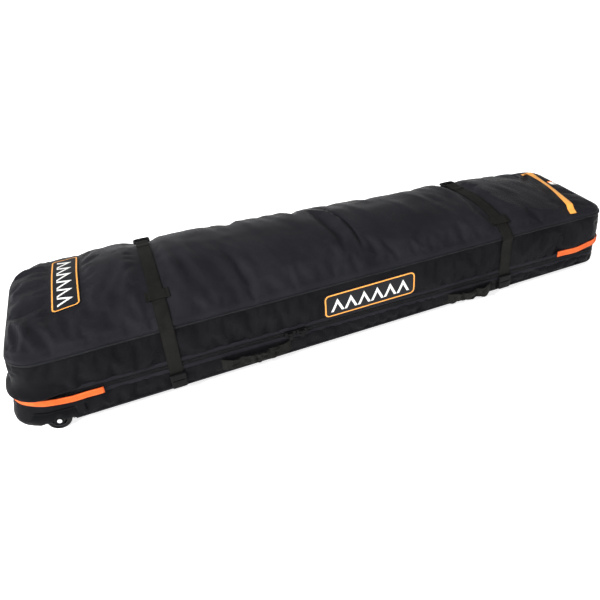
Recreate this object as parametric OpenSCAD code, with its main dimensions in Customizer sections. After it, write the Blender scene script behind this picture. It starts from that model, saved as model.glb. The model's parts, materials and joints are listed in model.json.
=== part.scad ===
// Wheeled travel bag for boards: a padded tub, a zipped lid hinged along the
// back, two compression straps, carrying handles and two in-line wheels.
// X runs along the bag (wheels at -X), the zip opens at the front (-Y),
// Z is up and the floor is z = 0, with the origin under the middle.

/* [Bag] */
// Length of the bag
bag_length = 1700; // [1500:10:1850]
// Width at the wheel end
wheel_end_width = 500; // [460:5:540]
// Width at the far end
far_end_width = 350; // [320:5:400]
// Corner radius in plan at the wheel end
wheel_end_radius = 65; // [60:1:75]
// Corner radius in plan at the far end
far_end_radius = 60; // [50:1:75]
// Height of the zip above the floor in the middle of the bag
zip_height = 84; // [82:1:88]
// Slope of the zip, down towards the far end, in degrees
zip_tilt = 1.26; // [1:0.02:1.4]
// Height of the top seam above the floor
seam_height = 195; // [190:1:215]
// Rise of the soft top above its seam
crown_height = 72; // [40:1:90]
// Thickness of the padded walls
wall = 9; // [7:0.5:10]

/* [Wheels] */
// Wheel radius
wheel_radius = 29.5; // [28:0.5:30]
// Wheel width
wheel_width = 25; // [22:0.5:26]
// Distance of the axles from the middle of the bag
axle_x = -762; // [-770:1:-755]
// Distance of the wheels' middle planes from the bag's centre line
wheel_y = 228; // [226:0.5:229]
// Axle radius
axle_radius = 4; // [3:0.5:4]

/* [Straps] */
// Width of the compression straps
strap_width = 35; // [25:1:38]
// Thickness of the webbing
strap_thickness = 2.2; // [1.6:0.1:2.4]
// Place of the strap near the wheels
strap_x_wheel_end = -468; // [-480:1:-460]
// Place of the strap near the far end
strap_x_far_end = 498; // [495:1:510]

/* [Handles] */
// Width of the black carrying handles
carry_width = 28; // [24:1:28]
// How far a carrying handle stands off in its middle
carry_bow = 15; // [10:1:18]
// Rise of the grab handle above its ends
grab_rise = 26; // [20:1:30]

/* [Hidden] */

$fn = 48;
half_length = bag_length / 2;
mid_half_width = (wheel_end_width + far_end_width) / 4;
taper = atan((wheel_end_width - far_end_width) / 2 / bag_length);
side_distance = mid_half_width * cos(taper);
corner_steps = 7;

base_top = 33;        // top of the padded base
seam_low = 27;        // height of the bottom seam
board = 3;            // thickness of the stiffening board
edge = 6;             // thickness of the padded top at its edge
part_gap = 0.3;       // gap between the tub and the lid
tape = 1.2;           // thickness of the zip tape
coil = 3;             // how far the zip coil stands off the wall
piping = 2.5;         // how far the piping stands off the wall
far_out = 500;        // beyond the bag across and in height
far_along = 1000;     // beyond the bag along

black_cloth = [0.10, 0.10, 0.11];
black_web = [0.06, 0.06, 0.055];
black_plastic = [0.04, 0.04, 0.045];
coated_blue = [0.09, 0.10, 0.12];
board_grey = [0.75, 0.72, 0.65];
white_cloth = [0.95, 0.93, 0.90];
tyre_black = [0.12, 0.12, 0.13];
rim_grey = [0.2, 0.2, 0.21];
orange_web = [0.95, 0.35, 0.10];
amber = [0.95, 0.62, 0.25];
steel = [0.75, 0.75, 0.78];

// ---- outline and top surface ----

// Half the bag's width at x
function half_width(x) = mid_half_width - x * tan(taper);

function arc(cx, cy, r, a0, a1) =
    [for (i = [0:corner_steps]) let (t = a0 + (a1 - a0) * i / corner_steps) [cx + r * cos(t), cy + r * sin(t)]];

// Plan outline moved inwards by inset, counter-clockwise from the far end's back corner
function outline(inset) =
    let (hl = half_length - inset,
         d = side_distance - inset,
         rf = far_end_radius - inset,
         rw = wheel_end_radius - inset,
         xf = hl - rf,
         xw = -hl + rw,
         yf = (d - rf - xf * sin(taper)) / cos(taper),
         yw = (d - rw - xw * sin(taper)) / cos(taper))
    concat(arc(xf, yf, rf, 0, 90 - taper),
           arc(xw, yw, rw, 90 - taper, 180),
           arc(xw, -yw, rw, 180, 270 + taper),
           arc(xf, -yf, rf, 270 + taper, 360));

// Rise of the top above its edge: full in the middle, none at the outline
function dome(x, y) =
    crown_height * (1 - pow(min(1, abs(x) / half_length), 3)) * (1 - pow(min(1, abs(y) / half_width(x)), 2.4));

function top_z(x, y) = seam_height + edge + dome(x, y);

// ---- shared shapes ----

module slab(inset, z0, z1) {
    translate([0, 0, z0]) linear_extrude(z1 - z0) polygon(outline(inset));
}

// A wall that follows the outline, between two insets
module ring(inset_out, inset_in, z0, z1) {
    difference() {
        slab(inset_out, z0, z1);
        slab(inset_in, z0 - 1, z1 + 1);
    }
}

// Frames on the front and back walls: X along the wall, -Y or +Y outwards, Z up
module on_front() translate([0, -mid_half_width, 0]) rotate([0, 0, taper]) children();
module on_back() translate([0, mid_half_width, 0]) rotate([0, 0, -taper]) children();

module on_front_zip() on_front() translate([0, 0, zip_height]) rotate([0, zip_tilt, 0]) children();

// Height of the zip at x
function zip_z(x) = zip_height - x * tan(zip_tilt);

// Keeps what lies between two heights above the sloping zip
module zip_layer(z0, z1) intersection() {
    children();
    translate([0, 0, zip_height]) rotate([0, zip_tilt, 0]) box(-far_along, far_along, -far_out, far_out, z0, z1);
}

module box(x0, x1, y0, y1, z0, z1) translate([x0, y0, z0]) cube([x1 - x0, y1 - y0, z1 - z0]);

// A cylinder along X or Y, centred on a point
module rod_x(p, r, h) translate(p) rotate([0, 90, 0]) cylinder(r = r, h = h, center = true);
module rod_y(p, r, h) translate(p) rotate([90, 0, 0]) cylinder(r = r, h = h, center = true);

// A flat band: stations of [centre of its inner face, half-width vector, outward normal]
module band(stations, thickness) {
    n = len(stations);
    corners = [for (s = stations) each
        [s[0] - s[1], s[0] + s[1], s[0] + s[1] + thickness * s[2], s[0] - s[1] + thickness * s[2]]];
    sides = [for (i = [0:n - 2]) for (j = [0:3]) let (k = (j + 1) % 4, a = 4 * i, b = 4 * (i + 1)) each
        [[a + j, b + j, b + k], [a + j, b + k, a + k]]];
    ends = [[0, 1, 2], [0, 2, 3], [4 * n - 1, 4 * n - 2, 4 * n - 3], [4 * n - 1, 4 * n - 3, 4 * n - 4]];
    polyhedron(corners, concat(sides, ends), convexity = 6);
}

// Points on the bag's skin, moved off it
function on_back_wall(x, z, off) = [x, half_width(x) + off, z];
function on_front_wall(x, z, off) = [x, -half_width(x) - off, z];
function on_top(x, v, off) = let (y = v * half_width(x)) [x, y, top_z(x, y) + off];

// One station of a band of half-width h round the bag at x: s = [place, value, off, angle of the normal]
function skin_point(x, s) =
    s[0] == "back" ? on_back_wall(x, s[1], s[2]) :
    s[0] == "top" ? on_top(x, s[1], s[2]) : on_front_wall(x, s[1], s[2]);
function skin_station(x, h, s) =
    let (p = skin_point(x - h, s), q = skin_point(x + h, s)) [(p + q) / 2, (q - p) / 2, [0, cos(s[3]), sin(s[3])]];
module skin_band(x, h, places, thickness) {
    band([for (s = places) skin_station(x, h, s)], thickness);
}

// A slack band held at both ends: it bows along bow_dir over a straight line from p to q
module bowed_band(p, q, width_dir, bow_dir, width, bow, thickness) {
    n = 14;
    lean = 0.25;
    band([for (i = [0:n]) let (t = i / n, rise = bow * sin(180 * t))
        [p + (q - p) * t + rise * bow_dir, width_dir * width / 2,
         unit(bow_dir - lean * cos(180 * t) * unit(q - p))]], thickness);
}
function unit(v) = v / norm(v);

// ---- tub ----

flat_inset = 46;      // the base is flat on the floor inside this inset
turn_inset = 14;      // and turns up from here
turn_low = 9;
turn_high = 24;
well_half = 37;       // half-length of the room for a wheel
well_inner = 6.5;     // gap between a wheel's inner face and the end of its room
module base_panel() color(black_cloth) difference() {
    hull() {
        slab(flat_inset, 0, 0.5);
        slab(turn_inset, turn_low, turn_low + 1);
        slab(0, turn_high, base_top);
    }
    for (s = [-1, 1]) wheel_cut(s, well_half, -1, base_top + 1);
}

// Room for a wheel, open to the side of the bag
module wheel_cut(side, half, z0, z1) {
    mirror([0, side > 0 ? 1 : 0, 0])
        box(axle_x - half, axle_x + half, -far_out, -wheel_y + wheel_width / 2 + well_inner, z0, z1);
}

board_notch = 4;      // the board's notch is longer than the wheel's room by this at each side
module base_board() color(board_grey) difference() {
    slab(wall + 1, base_top, base_top + board);
    for (s = [-1, 1]) wheel_cut(s, well_half + board_notch, base_top - 1, base_top + board + 1);
}

pocket_half = 39;     // pocket for a wheel housing, behind a thin outer skin
pocket_depth = 16.6;
pocket_top = 72;
hub_notch = 14;       // radius of the notch that shows the hub
module lower_wall() color(black_cloth) difference() {
    zip_layer(-far_out, -part_gap / 2) ring(0, wall, base_top, seam_height);
    for (s = [0, 1]) mirror([0, s, 0])
        box(axle_x - pocket_half, axle_x + pocket_half, -wheel_y - pocket_depth, 0, base_top - 1, pocket_top);
    hub_notches();
}
module hub_notches() for (s = [-1, 1]) rod_y([axle_x, s * wheel_y, wheel_radius], hub_notch, 2 * hub_reach);
hub_reach = 30;

module bottom_piping() color(black_web) difference() {
    ring(-piping, 0, seam_low - piping, seam_low + piping);
    for (s = [-1, 1]) wheel_cut(s, well_half, 0, base_top);
}

// Coated cloth round the wheel end's lower corners
guard_thickness = 1.2;
guard_top = 58;
guard_end = -690;
module corner_guard() color(coated_blue) difference() {
    ring(-guard_thickness, 0, base_top, guard_top);
    box(guard_end, far_along, -far_out, far_out, 0, guard_top + 1);
    hub_notches();
}

// Keeps the front and both ends of a ring, and leaves the hinge side free
zip_end_wheel = -745; // where the zip stops on the back wall
zip_end_far = 765;
tape_reach = 7;       // how far a tape reaches above or below the zip
coil_reach = 3;
hinge_reach = 20;
hinge_short = 5;      // the hinge tape stops short of the zip's ends
module round_front() difference() {
    children();
    on_back() box(zip_end_wheel, zip_end_far, -20, 40, 0, far_out);
}
module zip_ring(out, in) round_front() ring(out, in, base_top, seam_height - 10);

module zip_tape_lower() color(black_web) zip_layer(-tape_reach, -part_gap / 2) zip_ring(-tape, 0);
module zip_coil_lower() color(black_plastic) zip_layer(-coil_reach, -part_gap / 2) zip_ring(-coil, -tape);
module hinge_tape() color(black_web) zip_layer(-hinge_reach, -part_gap / 2)
    on_back() box(zip_end_wheel + hinge_short, zip_end_far - hinge_short, 0, tape, base_top, seam_height);

// Pocket that holds one wheel, on a flange screwed to the base board
cheek = 2.6;
cavity = wheel_width / 2 + 0.8;
arch_radius = 38;
arch_wall = 3;
hub_boss = 11;
axle_play = 0.05;
head_width = 1.8;
head_rim = 1.6;
flange_reach = 22;
screw_x = 26;
screw_radius = 2.5;
screw_y = wheel_y - cavity - cheek - 12;
module wheel_housing_at(side) color(black_plastic) mirror([0, side > 0 ? 1 : 0, 0]) difference() {
    union() {
        difference() {
            rod_y([axle_x, -wheel_y, wheel_radius], arch_radius, 2 * (cavity + cheek));
            box(axle_x - arch_radius - 1, axle_x + arch_radius + 1, -far_out, 0, -far_out, base_top);
        }
        rod_y([axle_x, -wheel_y, wheel_radius], hub_boss, 2 * (cavity + cheek));
        box(axle_x - arch_radius, axle_x + arch_radius, -wheel_y + cavity, -wheel_y + cavity + cheek + flange_reach,
            base_top + board, base_top + 2 * board);
    }
    rod_y([axle_x, -wheel_y, wheel_radius], arch_radius - arch_wall, 2 * cavity);
    rod_y([axle_x, -wheel_y, wheel_radius], axle_radius + axle_play, 2 * hub_reach);
    for (x = [-screw_x, screw_x]) translate([axle_x + x, -screw_y, 0])
        cylinder(r = screw_radius + axle_play, h = pocket_top);
}
module wheel_housing_front() wheel_housing_at(-1);
module wheel_housing_back() wheel_housing_at(1);

module axle_at(side) color(steel) mirror([0, side > 0 ? 1 : 0, 0]) {
    half = cavity + cheek;
    rod_y([axle_x, -wheel_y, wheel_radius], axle_radius, 2 * half);
    for (e = [-1, 1])
        rod_y([axle_x, -wheel_y + e * (half + head_width / 2), wheel_radius], axle_radius + head_rim, head_width);
}
module axle_front() axle_at(-1);
module axle_back() axle_at(1);

module housing_screws() color(steel)
    for (s = [0, 1]) mirror([0, s, 0]) for (x = [-screw_x, screw_x])
        translate([axle_x + x, -screw_y, base_top + 2 * board]) {
            translate([0, 0, -board]) cylinder(r = screw_radius, h = board);
            cylinder(r = 2 * screw_radius, h = 2);
        }

// Orange webbing sewn round an end of the bag, between two heights above the zip
end_web_thickness = 2;
end_web_width = 18;
end_web_drop = 27;    // the wheel end's strip lies this far below the zip
end_web_lift = 8;     // the far end's strip lies this far above it
end_web_start = [-638, 684];
module end_web(x_from, x_to, z0) zip_layer(z0, z0 + end_web_width) intersection() {
    ring(-end_web_thickness, 0, base_top, seam_height - 10);
    box(x_from, x_to, -far_out, far_out, 0, far_out);
}
module wheel_end_handle() color(orange_web) difference() {
    end_web(-far_along, end_web_start[0], -end_web_drop);
    on_back() box(zip_end_wheel, far_along, -40, 40, 0, far_out);
}

// Where the straps meet the bottom seam at the front
buckle_half = 20;
socket_low = 30;
socket_high = 52;
socket_front = 13;    // distance of the socket's and the clip's faces from the wall
socket_back = 2.8;
socket_wall = 3;
mouth_front = 2.5;
tab_front = 2.4;
strap_xs = [strap_x_wheel_end, strap_x_far_end];
module strap_tabs() color(black_web) for (x = strap_xs) on_front()
    box(x - strap_width / 2, x + strap_width / 2, -tab_front, -part_gap, socket_low + 1, socket_high + 6);

module buckle_socket_at(x) color(black_plastic) on_front() difference() {
    box(x - buckle_half, x + buckle_half, -socket_front, -socket_back, socket_low, socket_high);
    // mouth for the clip's prongs
    box(x - buckle_half + socket_wall, x + buckle_half - socket_wall, -socket_front + mouth_front,
        -socket_back - tab_front, socket_low + socket_wall + 1, socket_high + 1);
}
module buckle_socket_wheel_end() buckle_socket_at(strap_x_wheel_end);
module buckle_socket_far_end() buckle_socket_at(strap_x_far_end);

rear_off = 1.5;
rear_foot = 20;
over_piping = 3;
strap_split = 1.2;
module rear_straps_lower() color(black_web) for (x = strap_xs)
    skin_band(x, strap_width / 2,
        [["back", rear_foot, over_piping, 0], ["back", base_top, over_piping, 0],
         ["back", base_top + 11, rear_off, 0], ["back", zip_z(x) - strap_split, rear_off, 0]], strap_thickness);

// Black carrying handles: ends sewn to the front wall, a slack middle
carry_off = 13;
carry_spans = [[-345, -175, 54], [322, 446, 44.5]]; // from, to, height
carry_sewn = 28;
module carry_handle_anchors() color(black_web) for (s = carry_spans) for (e = [0, 1])
    on_front()
        translate([s[e], 0, s[2]]) mirror([e, 0, 0])
            band([for (k = [[-carry_sewn, 0.6], [-8, 0.6], [-3, 5], [0, carry_off - strap_thickness]])
                [[k[0], -k[1], 0], [0, 0, -carry_width / 2 + (k[0] > -5 ? 1 : 0)], [0, -1, 0]]], strap_thickness);

carry_droop = 15;
module carry_handle_at(s) color(black_web) on_front()
    bowed_band([s[0] + 1.4, -carry_off, s[2]], [s[1] - 1.4, -carry_off, s[2]],
        [0, sin(carry_droop), -cos(carry_droop)], [0, -cos(carry_droop), -sin(carry_droop)],
        carry_width, carry_bow, strap_thickness);
module carry_handle_wheel_end() carry_handle_at(carry_spans[0]);
module carry_handle_far_end() carry_handle_at(carry_spans[1]);

// ---- lid ----

// Padded top: rings scaled from the outline towards the middle, outside and inside
top_rings = [1, 0.97, 0.93, 0.87, 0.78, 0.65, 0.5, 0.32, 0.15];
module top_panel() color(black_cloth) {
    outer = outline(0);
    inner = outline(wall);
    n = len(outer);
    m = len(top_rings);
    points = concat(
        [for (p = outer) [p[0], p[1], seam_height]],
        [for (s = top_rings) for (p = outer) [p[0] * s, p[1] * s, top_z(p[0] * s, p[1] * s)]],
        [[0, 0, top_z(0, 0)]],
        [for (p = inner) [p[0], p[1], seam_height]],
        [for (s = top_rings) for (p = inner) [p[0] * s, p[1] * s, top_z(p[0] * s, p[1] * s) - edge]],
        [[0, 0, top_z(0, 0) - edge]]);
    out0 = 0;
    out_top = n * (m + 1);
    in0 = out_top + 1;
    in_top = in0 + n * (m + 1);
    faces = concat(
        [for (r = [0:m - 1]) for (i = [0:n - 1]) each strip(out0 + r * n, out0 + (r + 1) * n, i, n, true)],
        [for (i = [0:n - 1]) [out_top, out0 + m * n + (i + 1) % n, out0 + m * n + i]],
        [for (r = [0:m - 1]) for (i = [0:n - 1]) each strip(in0 + r * n, in0 + (r + 1) * n, i, n, false)],
        [for (i = [0:n - 1]) [in_top, in0 + m * n + i, in0 + m * n + (i + 1) % n]],
        [for (i = [0:n - 1]) each strip(out0, in0, i, n, false)]);
    polyhedron(points, faces, convexity = 6);
}
// Two triangles between ring a and ring b at place i, seen clockwise from outside
function strip(a, b, i, n, out) =
    let (j = (i + 1) % n)
    out ? [[a + i, b + i, b + j], [a + i, b + j, a + j]] : [[a + i, b + j, b + i], [a + i, a + j, b + j]];

module upper_wall() color(black_cloth) zip_layer(part_gap / 2, far_out) ring(0, wall, base_top, seam_height);
module top_piping() color(black_web) ring(-piping, 0, seam_height - piping, seam_height + piping);
module zip_tape_upper() color(black_web) zip_layer(part_gap / 2, tape_reach) zip_ring(-tape, 0);
module zip_coil_upper() color(black_plastic) zip_layer(part_gap / 2, coil_reach) zip_ring(-coil, -tape);
module far_end_handle() color(orange_web) difference() {
    end_web(end_web_start[1], far_along, end_web_lift);
    on_back() box(-far_along, zip_end_far, -40, 40, 0, far_out);
}

// Printed patches on the top and on the front
badge_x = -684;
badge_half = 36;
badge_thickness = 1.2;
badge_span = [0.8, -0.36]; // across the bag, in half-widths
module top_badge() color(amber)
    skin_band(badge_x, badge_half,
        [for (i = [0:8]) ["top", badge_span[0] + (badge_span[1] - badge_span[0]) * i / 8, badge_thickness / 2, 90]],
        badge_thickness);
side_badge_from = [-58, 99];
side_badge_to = [200, 171];
module side_badge() color(amber) on_front()
    box(side_badge_from[0], side_badge_to[0], -badge_thickness, 0, side_badge_from[1], side_badge_to[1]);

label_length = 18;
label_width = 28;
label_thickness = 1.5;
label_place = [half_length - 40, 26, seam_height + edge + 10];
label_tilt = [0, 12, 8];
module label_tag() color(white_cloth) translate(label_place) rotate(label_tilt)
    box(-label_length / 2, label_length / 2, -label_width / 2, label_width / 2, 0, label_thickness);

// Cross patches that keep each strap in place on the top
keeper_half = 29;
keeper_thickness = 1.4;
keeper_places = [-0.66, -0.77]; // across the bag, in half-widths
keeper_reach = 0.07;
module strap_keepers() color(black_web) for (k = [0, 1])
    skin_band(strap_xs[k], keeper_half,
        [for (e = [1, 0, -1]) ["top", keeper_places[k] + e * keeper_reach, part_gap, 90]], keeper_thickness);

// Front half of a strap: from the hinge line over the top to the clip at the front
clip_top = 66;
module strap_at(x) color(black_web) skin_band(x, strap_width / 2, concat(
    [["back", zip_z(x) + strap_split, rear_off, 0], ["back", seam_height - 14, rear_off, 0],
     ["back", seam_height - 3, 3.2, 20], ["back", seam_height + 5, 2.6, 55]],
    [for (v = [0.955, 0.9, 0.82, 0.72, 0.6, 0.45, 0.3, 0.15, 0, -0.15, -0.3, -0.45, -0.6, -0.72, -0.82, -0.9, -0.955])
        ["top", v, 2.2, 90]],
    [["front", seam_height + 5, 2.6, 125], ["front", seam_height - 3, 3.6, 160],
     ["front", seam_height - 14, 3.6, 180], ["front", clip_top, 3.6, 180]]), strap_thickness);
module strap_wheel_end() strap_at(strap_x_wheel_end);
module strap_far_end() strap_at(strap_x_far_end);

// Ladder-lock that tightens a strap, on the top near the back
adjuster_v = 0.70;    // across the bag, in half-widths
adjuster_tilt = -10;  // tension tips it up at the back
adjuster_lift = 9;
adjuster_half = [23, 18];
adjuster_height = 6;
adjuster_slot = 7;    // length of a slot along the strap
slot_half = 19;
slot_floor = 1.8;
bar_radius = 2.6;
bar_pitch = 14;
module adjuster_at(x) color(black_plastic)
    translate([x, adjuster_v * half_width(x), top_z(x, adjuster_v * half_width(x)) + adjuster_lift])
        rotate([adjuster_tilt, 0, 0]) difference() {
            union() {
                box(-adjuster_half[0], adjuster_half[0], -adjuster_half[1], adjuster_half[1], 0.4, adjuster_height);
                for (y = [-bar_pitch, 0, bar_pitch])
                    rod_x([0, y, adjuster_height], bar_radius, 2 * adjuster_half[0]);
            }
            for (y = [-bar_pitch / 2, bar_pitch / 2])
                box(-slot_half, slot_half, y - adjuster_slot / 2, y + adjuster_slot / 2, slot_floor,
                    2 * adjuster_height);
        }
module strap_adjuster_wheel_end() adjuster_at(strap_x_wheel_end);
module strap_adjuster_far_end() adjuster_at(strap_x_far_end);

// Clip with two prongs that stand in the socket's mouth
clip_back = 6.2;
clip_gap = 0.4;
prong_place = 11.5;
prong_half = 3.5;
prong_front = 9.8;
module buckle_clip_at(x) color(black_plastic) on_front() {
    box(x - buckle_half, x + buckle_half, -socket_front, -clip_back, socket_high + clip_gap, clip_top + 6);
    for (s = [-1, 1]) box(x + s * prong_place - prong_half, x + s * prong_place + prong_half, -prong_front,
        -clip_back, socket_low + 6, socket_high + clip_gap);
}
module buckle_clip_wheel_end() buckle_clip_at(strap_x_wheel_end);
module buckle_clip_far_end() buckle_clip_at(strap_x_far_end);

// Grab handle across the far end: sewn ends on the lid, a slack middle
grab_ends = [[738, -148], [784, 118]];
grab_width = 20;
grab_lift = 12;
grab_lean = 35;
function grab_pivot(i) = [grab_ends[i][0], grab_ends[i][1], seam_height + edge + grab_lift + 4];
module grab_handle_anchors() color(amber) for (i = [0, 1]) let (s = i == 0 ? 1 : -1, p = grab_pivot(i))
    band([for (k = [[-16, 1.2], [-6, 1.2], [-2, 5], [0, grab_lift - 1]]) let (y = p[1] + s * k[0])
        [[p[0], y, (k[0] == 0 ? p[2] - 1 : top_z(p[0] - 10, y) + k[1])], [s * -grab_width / 2, 0, 0],
         [0, 0, 1]]], 1.6);
module grab_handle() color(amber) {
    along = unit(grab_pivot(1) - grab_pivot(0));
    side = [along[1], -along[0], 0];
    bowed_band(grab_pivot(0) + 2 * along + [0, 0, 1], grab_pivot(1) - 2 * along + [0, 0, 1],
        -(cos(grab_lean) * side - [0, 0, sin(grab_lean)]), sin(grab_lean) * side + [0, 0, cos(grab_lean)],
        grab_width, grab_rise, 1.6);
}

// ---- wheels ----

rim_radius = 21;
bearing_radius = 11;
bearing_width = 7;
module wheel_place(side) translate([axle_x, side * wheel_y, wheel_radius]) rotate([90, 0, 0]) children();

tyre_round = 6;       // radius of the tyre's shoulders
module tyre_at(side) color(tyre_black) wheel_place(side) rotate_extrude(convexity = 4)
    let (w = wheel_width / 2, c = tyre_round)
        polygon(concat([[rim_radius, -w + 2], [rim_radius + 3, -w]],
            [for (i = [0:6]) let (t = -90 + 15 * i) [wheel_radius - c + c * cos(t), -w + c + c * sin(t)]],
            [for (i = [0:6]) let (t = 15 * i) [wheel_radius - c + c * cos(t), w - c + c * sin(t)]],
            [[rim_radius + 3, w], [rim_radius, w - 2]]));
module tyre_front() tyre_at(-1);
module tyre_back() tyre_at(1);

rim_wall = 3;
hub_wall = 2.5;
spoke_length = 8.5;
spoke_width = 4;
spokes = 5;
module rim_at(side) color(rim_grey) wheel_place(side) difference() {
    union() {
        difference() {
            cylinder(r = rim_radius, h = wheel_width - 4, center = true);
            cylinder(r = rim_radius - rim_wall, h = wheel_width, center = true);
        }
        cylinder(r = bearing_radius + hub_wall, h = wheel_width - 4, center = true);
        for (k = [1:spokes]) rotate(360 / spokes * k)
            translate([bearing_radius, -spoke_width / 2, -(wheel_width - 8) / 2])
                cube([spoke_length, spoke_width, wheel_width - 8]);
    }
    for (s = [-1, 1]) translate([0, 0, s * (wheel_width / 2 - 2 - bearing_width / 2 + 0.5)])
        cylinder(r = bearing_radius, h = bearing_width + 1, center = true);
    cylinder(r = bearing_radius - 2, h = wheel_width, center = true);
}
module rim_front() rim_at(-1);
module rim_back() rim_at(1);

module bearings_at(side) color(steel) wheel_place(side) difference() {
    for (s = [-1, 1]) translate([0, 0, s * (wheel_width / 2 - 2 - bearing_width / 2)])
        cylinder(r = bearing_radius, h = bearing_width, center = true);
    cylinder(r = axle_radius + axle_play, h = wheel_width, center = true);
}
module bearings_front() bearings_at(-1);
module bearings_back() bearings_at(1);

// ---- zip sliders ----

slider_off = coil + 0.4;
slider_depth = 5;
pin_z = 2;
pull_reach = 16.5;
pin_radius = 1.2;
pull_off = slider_off + slider_depth + 3.2;
slider_places = [-166, -134];
slider_half = [14, 7];
ear_place = 5.5;
ear_half = [1.5, 2.5];
ear_front = 2;
pin_length = 9;
module slider_at(x) color(black_plastic) on_front_zip() {
    box(x - slider_half[0], x + slider_half[0], -slider_off - slider_depth, -slider_off,
        -slider_half[1], slider_half[1]);
    for (s = [-1, 1]) box(x + s * ear_place - ear_half[0], x + s * ear_place + ear_half[0],
        -pull_off - ear_front, -slider_off - slider_depth, pin_z - ear_half[1], pin_z + ear_half[1]);
    rod_x([x, -pull_off, pin_z], pin_radius, pin_length);
}
module zip_slider_wheel_end() slider_at(slider_places[0]);
module zip_slider_far_end() slider_at(slider_places[1]);

eye_radius = 2.6;
eye_length = 7;
pull_neck = [3, 1.1]; // half-width and half-thickness near the pin
pull_body = [5, 1.5]; // and further down
neck_length = 6;
pin_play = 0.08;
module pull_at(x) color(black_plastic) on_front_zip() difference() {
    union() {
        rod_x([x, -pull_off, pin_z], eye_radius, eye_length);
        for (p = [[pull_neck, 1.5], [pull_body, neck_length]])
            box(x - p[0][0], x + p[0][0], -pull_off - p[0][1], -pull_off + p[0][1], pin_z - pull_reach, pin_z - p[1]);
    }
    rod_x([x, -pull_off, pin_z], pin_radius + pin_play, 2 * pin_length);
}
module zip_pull_wheel_end() pull_at(slider_places[0]);
module zip_pull_far_end() pull_at(slider_places[1]);

base_panel();
base_board();
lower_wall();
bottom_piping();
corner_guard();
zip_tape_lower();
zip_coil_lower();
hinge_tape();
wheel_housing_front();
wheel_housing_back();
axle_front();
axle_back();
housing_screws();
wheel_end_handle();
far_end_handle();
strap_tabs();
buckle_socket_wheel_end();
buckle_socket_far_end();
rear_straps_lower();
carry_handle_anchors();
top_panel();
upper_wall();
top_piping();
zip_tape_upper();
zip_coil_upper();
top_badge();
side_badge();
label_tag();
strap_keepers();
strap_wheel_end();
strap_far_end();
strap_adjuster_wheel_end();
strap_adjuster_far_end();
buckle_clip_wheel_end();
buckle_clip_far_end();
grab_handle_anchors();
grab_handle();
tyre_front();
rim_front();
bearings_front();
tyre_back();
rim_back();
bearings_back();
zip_slider_wheel_end();
zip_pull_wheel_end();
zip_slider_far_end();
zip_pull_far_end();
carry_handle_wheel_end();
carry_handle_far_end();
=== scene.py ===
# %% [markdown]
# # A wheeled, padded board bag
# The bag is a padded tub with a zipped lid, hinged along its back wall. The main sizes come from the
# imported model, so each new piece lies where its plain stand-in lies.

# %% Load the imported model
import json
import bpy
import bmesh
import numpy as np
from mathutils import Matrix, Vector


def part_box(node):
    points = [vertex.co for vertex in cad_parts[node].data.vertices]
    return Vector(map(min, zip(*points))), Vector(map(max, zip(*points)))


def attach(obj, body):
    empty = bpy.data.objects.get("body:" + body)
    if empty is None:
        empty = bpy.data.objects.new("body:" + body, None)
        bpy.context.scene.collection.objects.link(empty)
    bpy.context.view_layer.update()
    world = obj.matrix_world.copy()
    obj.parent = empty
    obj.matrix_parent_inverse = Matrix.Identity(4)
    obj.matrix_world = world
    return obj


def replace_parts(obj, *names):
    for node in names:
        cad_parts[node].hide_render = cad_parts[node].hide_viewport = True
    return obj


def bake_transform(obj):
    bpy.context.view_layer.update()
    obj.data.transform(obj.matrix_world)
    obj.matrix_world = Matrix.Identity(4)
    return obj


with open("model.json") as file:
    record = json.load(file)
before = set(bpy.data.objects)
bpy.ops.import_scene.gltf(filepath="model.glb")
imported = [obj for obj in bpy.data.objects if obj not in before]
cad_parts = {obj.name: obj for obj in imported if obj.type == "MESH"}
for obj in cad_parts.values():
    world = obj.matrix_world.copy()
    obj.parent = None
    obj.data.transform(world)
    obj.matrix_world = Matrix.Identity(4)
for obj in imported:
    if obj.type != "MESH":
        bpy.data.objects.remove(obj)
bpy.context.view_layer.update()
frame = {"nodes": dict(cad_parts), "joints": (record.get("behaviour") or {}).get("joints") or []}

print("packed parts:", len(frame["nodes"]))

# %% [markdown]
# ## Sizes
# The plan of the bag is a long trapezoid with rounded corners, and the zip runs on a gentle slope.
# The lid's hinge line holds both slopes, and the wheels' joint and the boxes of a few parts hold more.
# What no part holds, such as where the straps run, is a named value here.


# %% Read the main sizes
def joint(name):
    """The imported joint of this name."""
    return next(j for j in frame["joints"] if j["name"] == name)


hinge = joint("lid_hinge")
hinge_axis = np.array(hinge["axis"])
taper = -hinge_axis[1] / hinge_axis[0]
zip_slope = -hinge_axis[2] / hinge_axis[0]
zip_middle = hinge["pos_m"][2]
hinge_gap = 0.004
half_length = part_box("base_panel")[1][0] - 0.004
mid_half_width = hinge["pos_m"][1] - hinge_gap
seam_low = 0.027
wheel_axle = np.array(joint("wheel_back_spin")["pos_m"])
corner_wheel, corner_far = 0.070, 0.050
wheel_end = half_length - 0.009
seam_usual, edge_roll = 0.195, 0.016
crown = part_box("top_panel")[1][2] - seam_usual - edge_roll
strap_at = {"wheel_end": -0.468, "far_end": 0.498}
strap_width, web = 0.035, 0.0022
handle_walls = ((-0.26, 0.115), (0.384, 0.09))  # middle and half-length of the wall behind each handle
grab_near, grab_far = np.array([0.738, -0.148]), np.array([0.784, 0.118])
top_badge_x, side_badge_x = -0.684, 0.071
straight_up = np.array([0.0, 0.0, 1.0])
print("half length", round(half_length, 3), "half width", round(mid_half_width, 4))
print("crown", round(crown, 4))

# %% [markdown]
# ## Helpers for shapes
# Cloth is a height or an offset worked out over a grid of two parameters. Random values on a lattice, joined
# by S-curves, give a smooth unevenness, and a few folds are drawn in.


# %% Smooth random unevenness
def smooth_step(low, high, value):
    """0 below low, 1 above high, and an S-curve t*t*(3 - 2t) between."""
    t = np.clip((value - low) / (high - low), 0, 1)
    return t * t * (3 - 2 * t)


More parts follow.
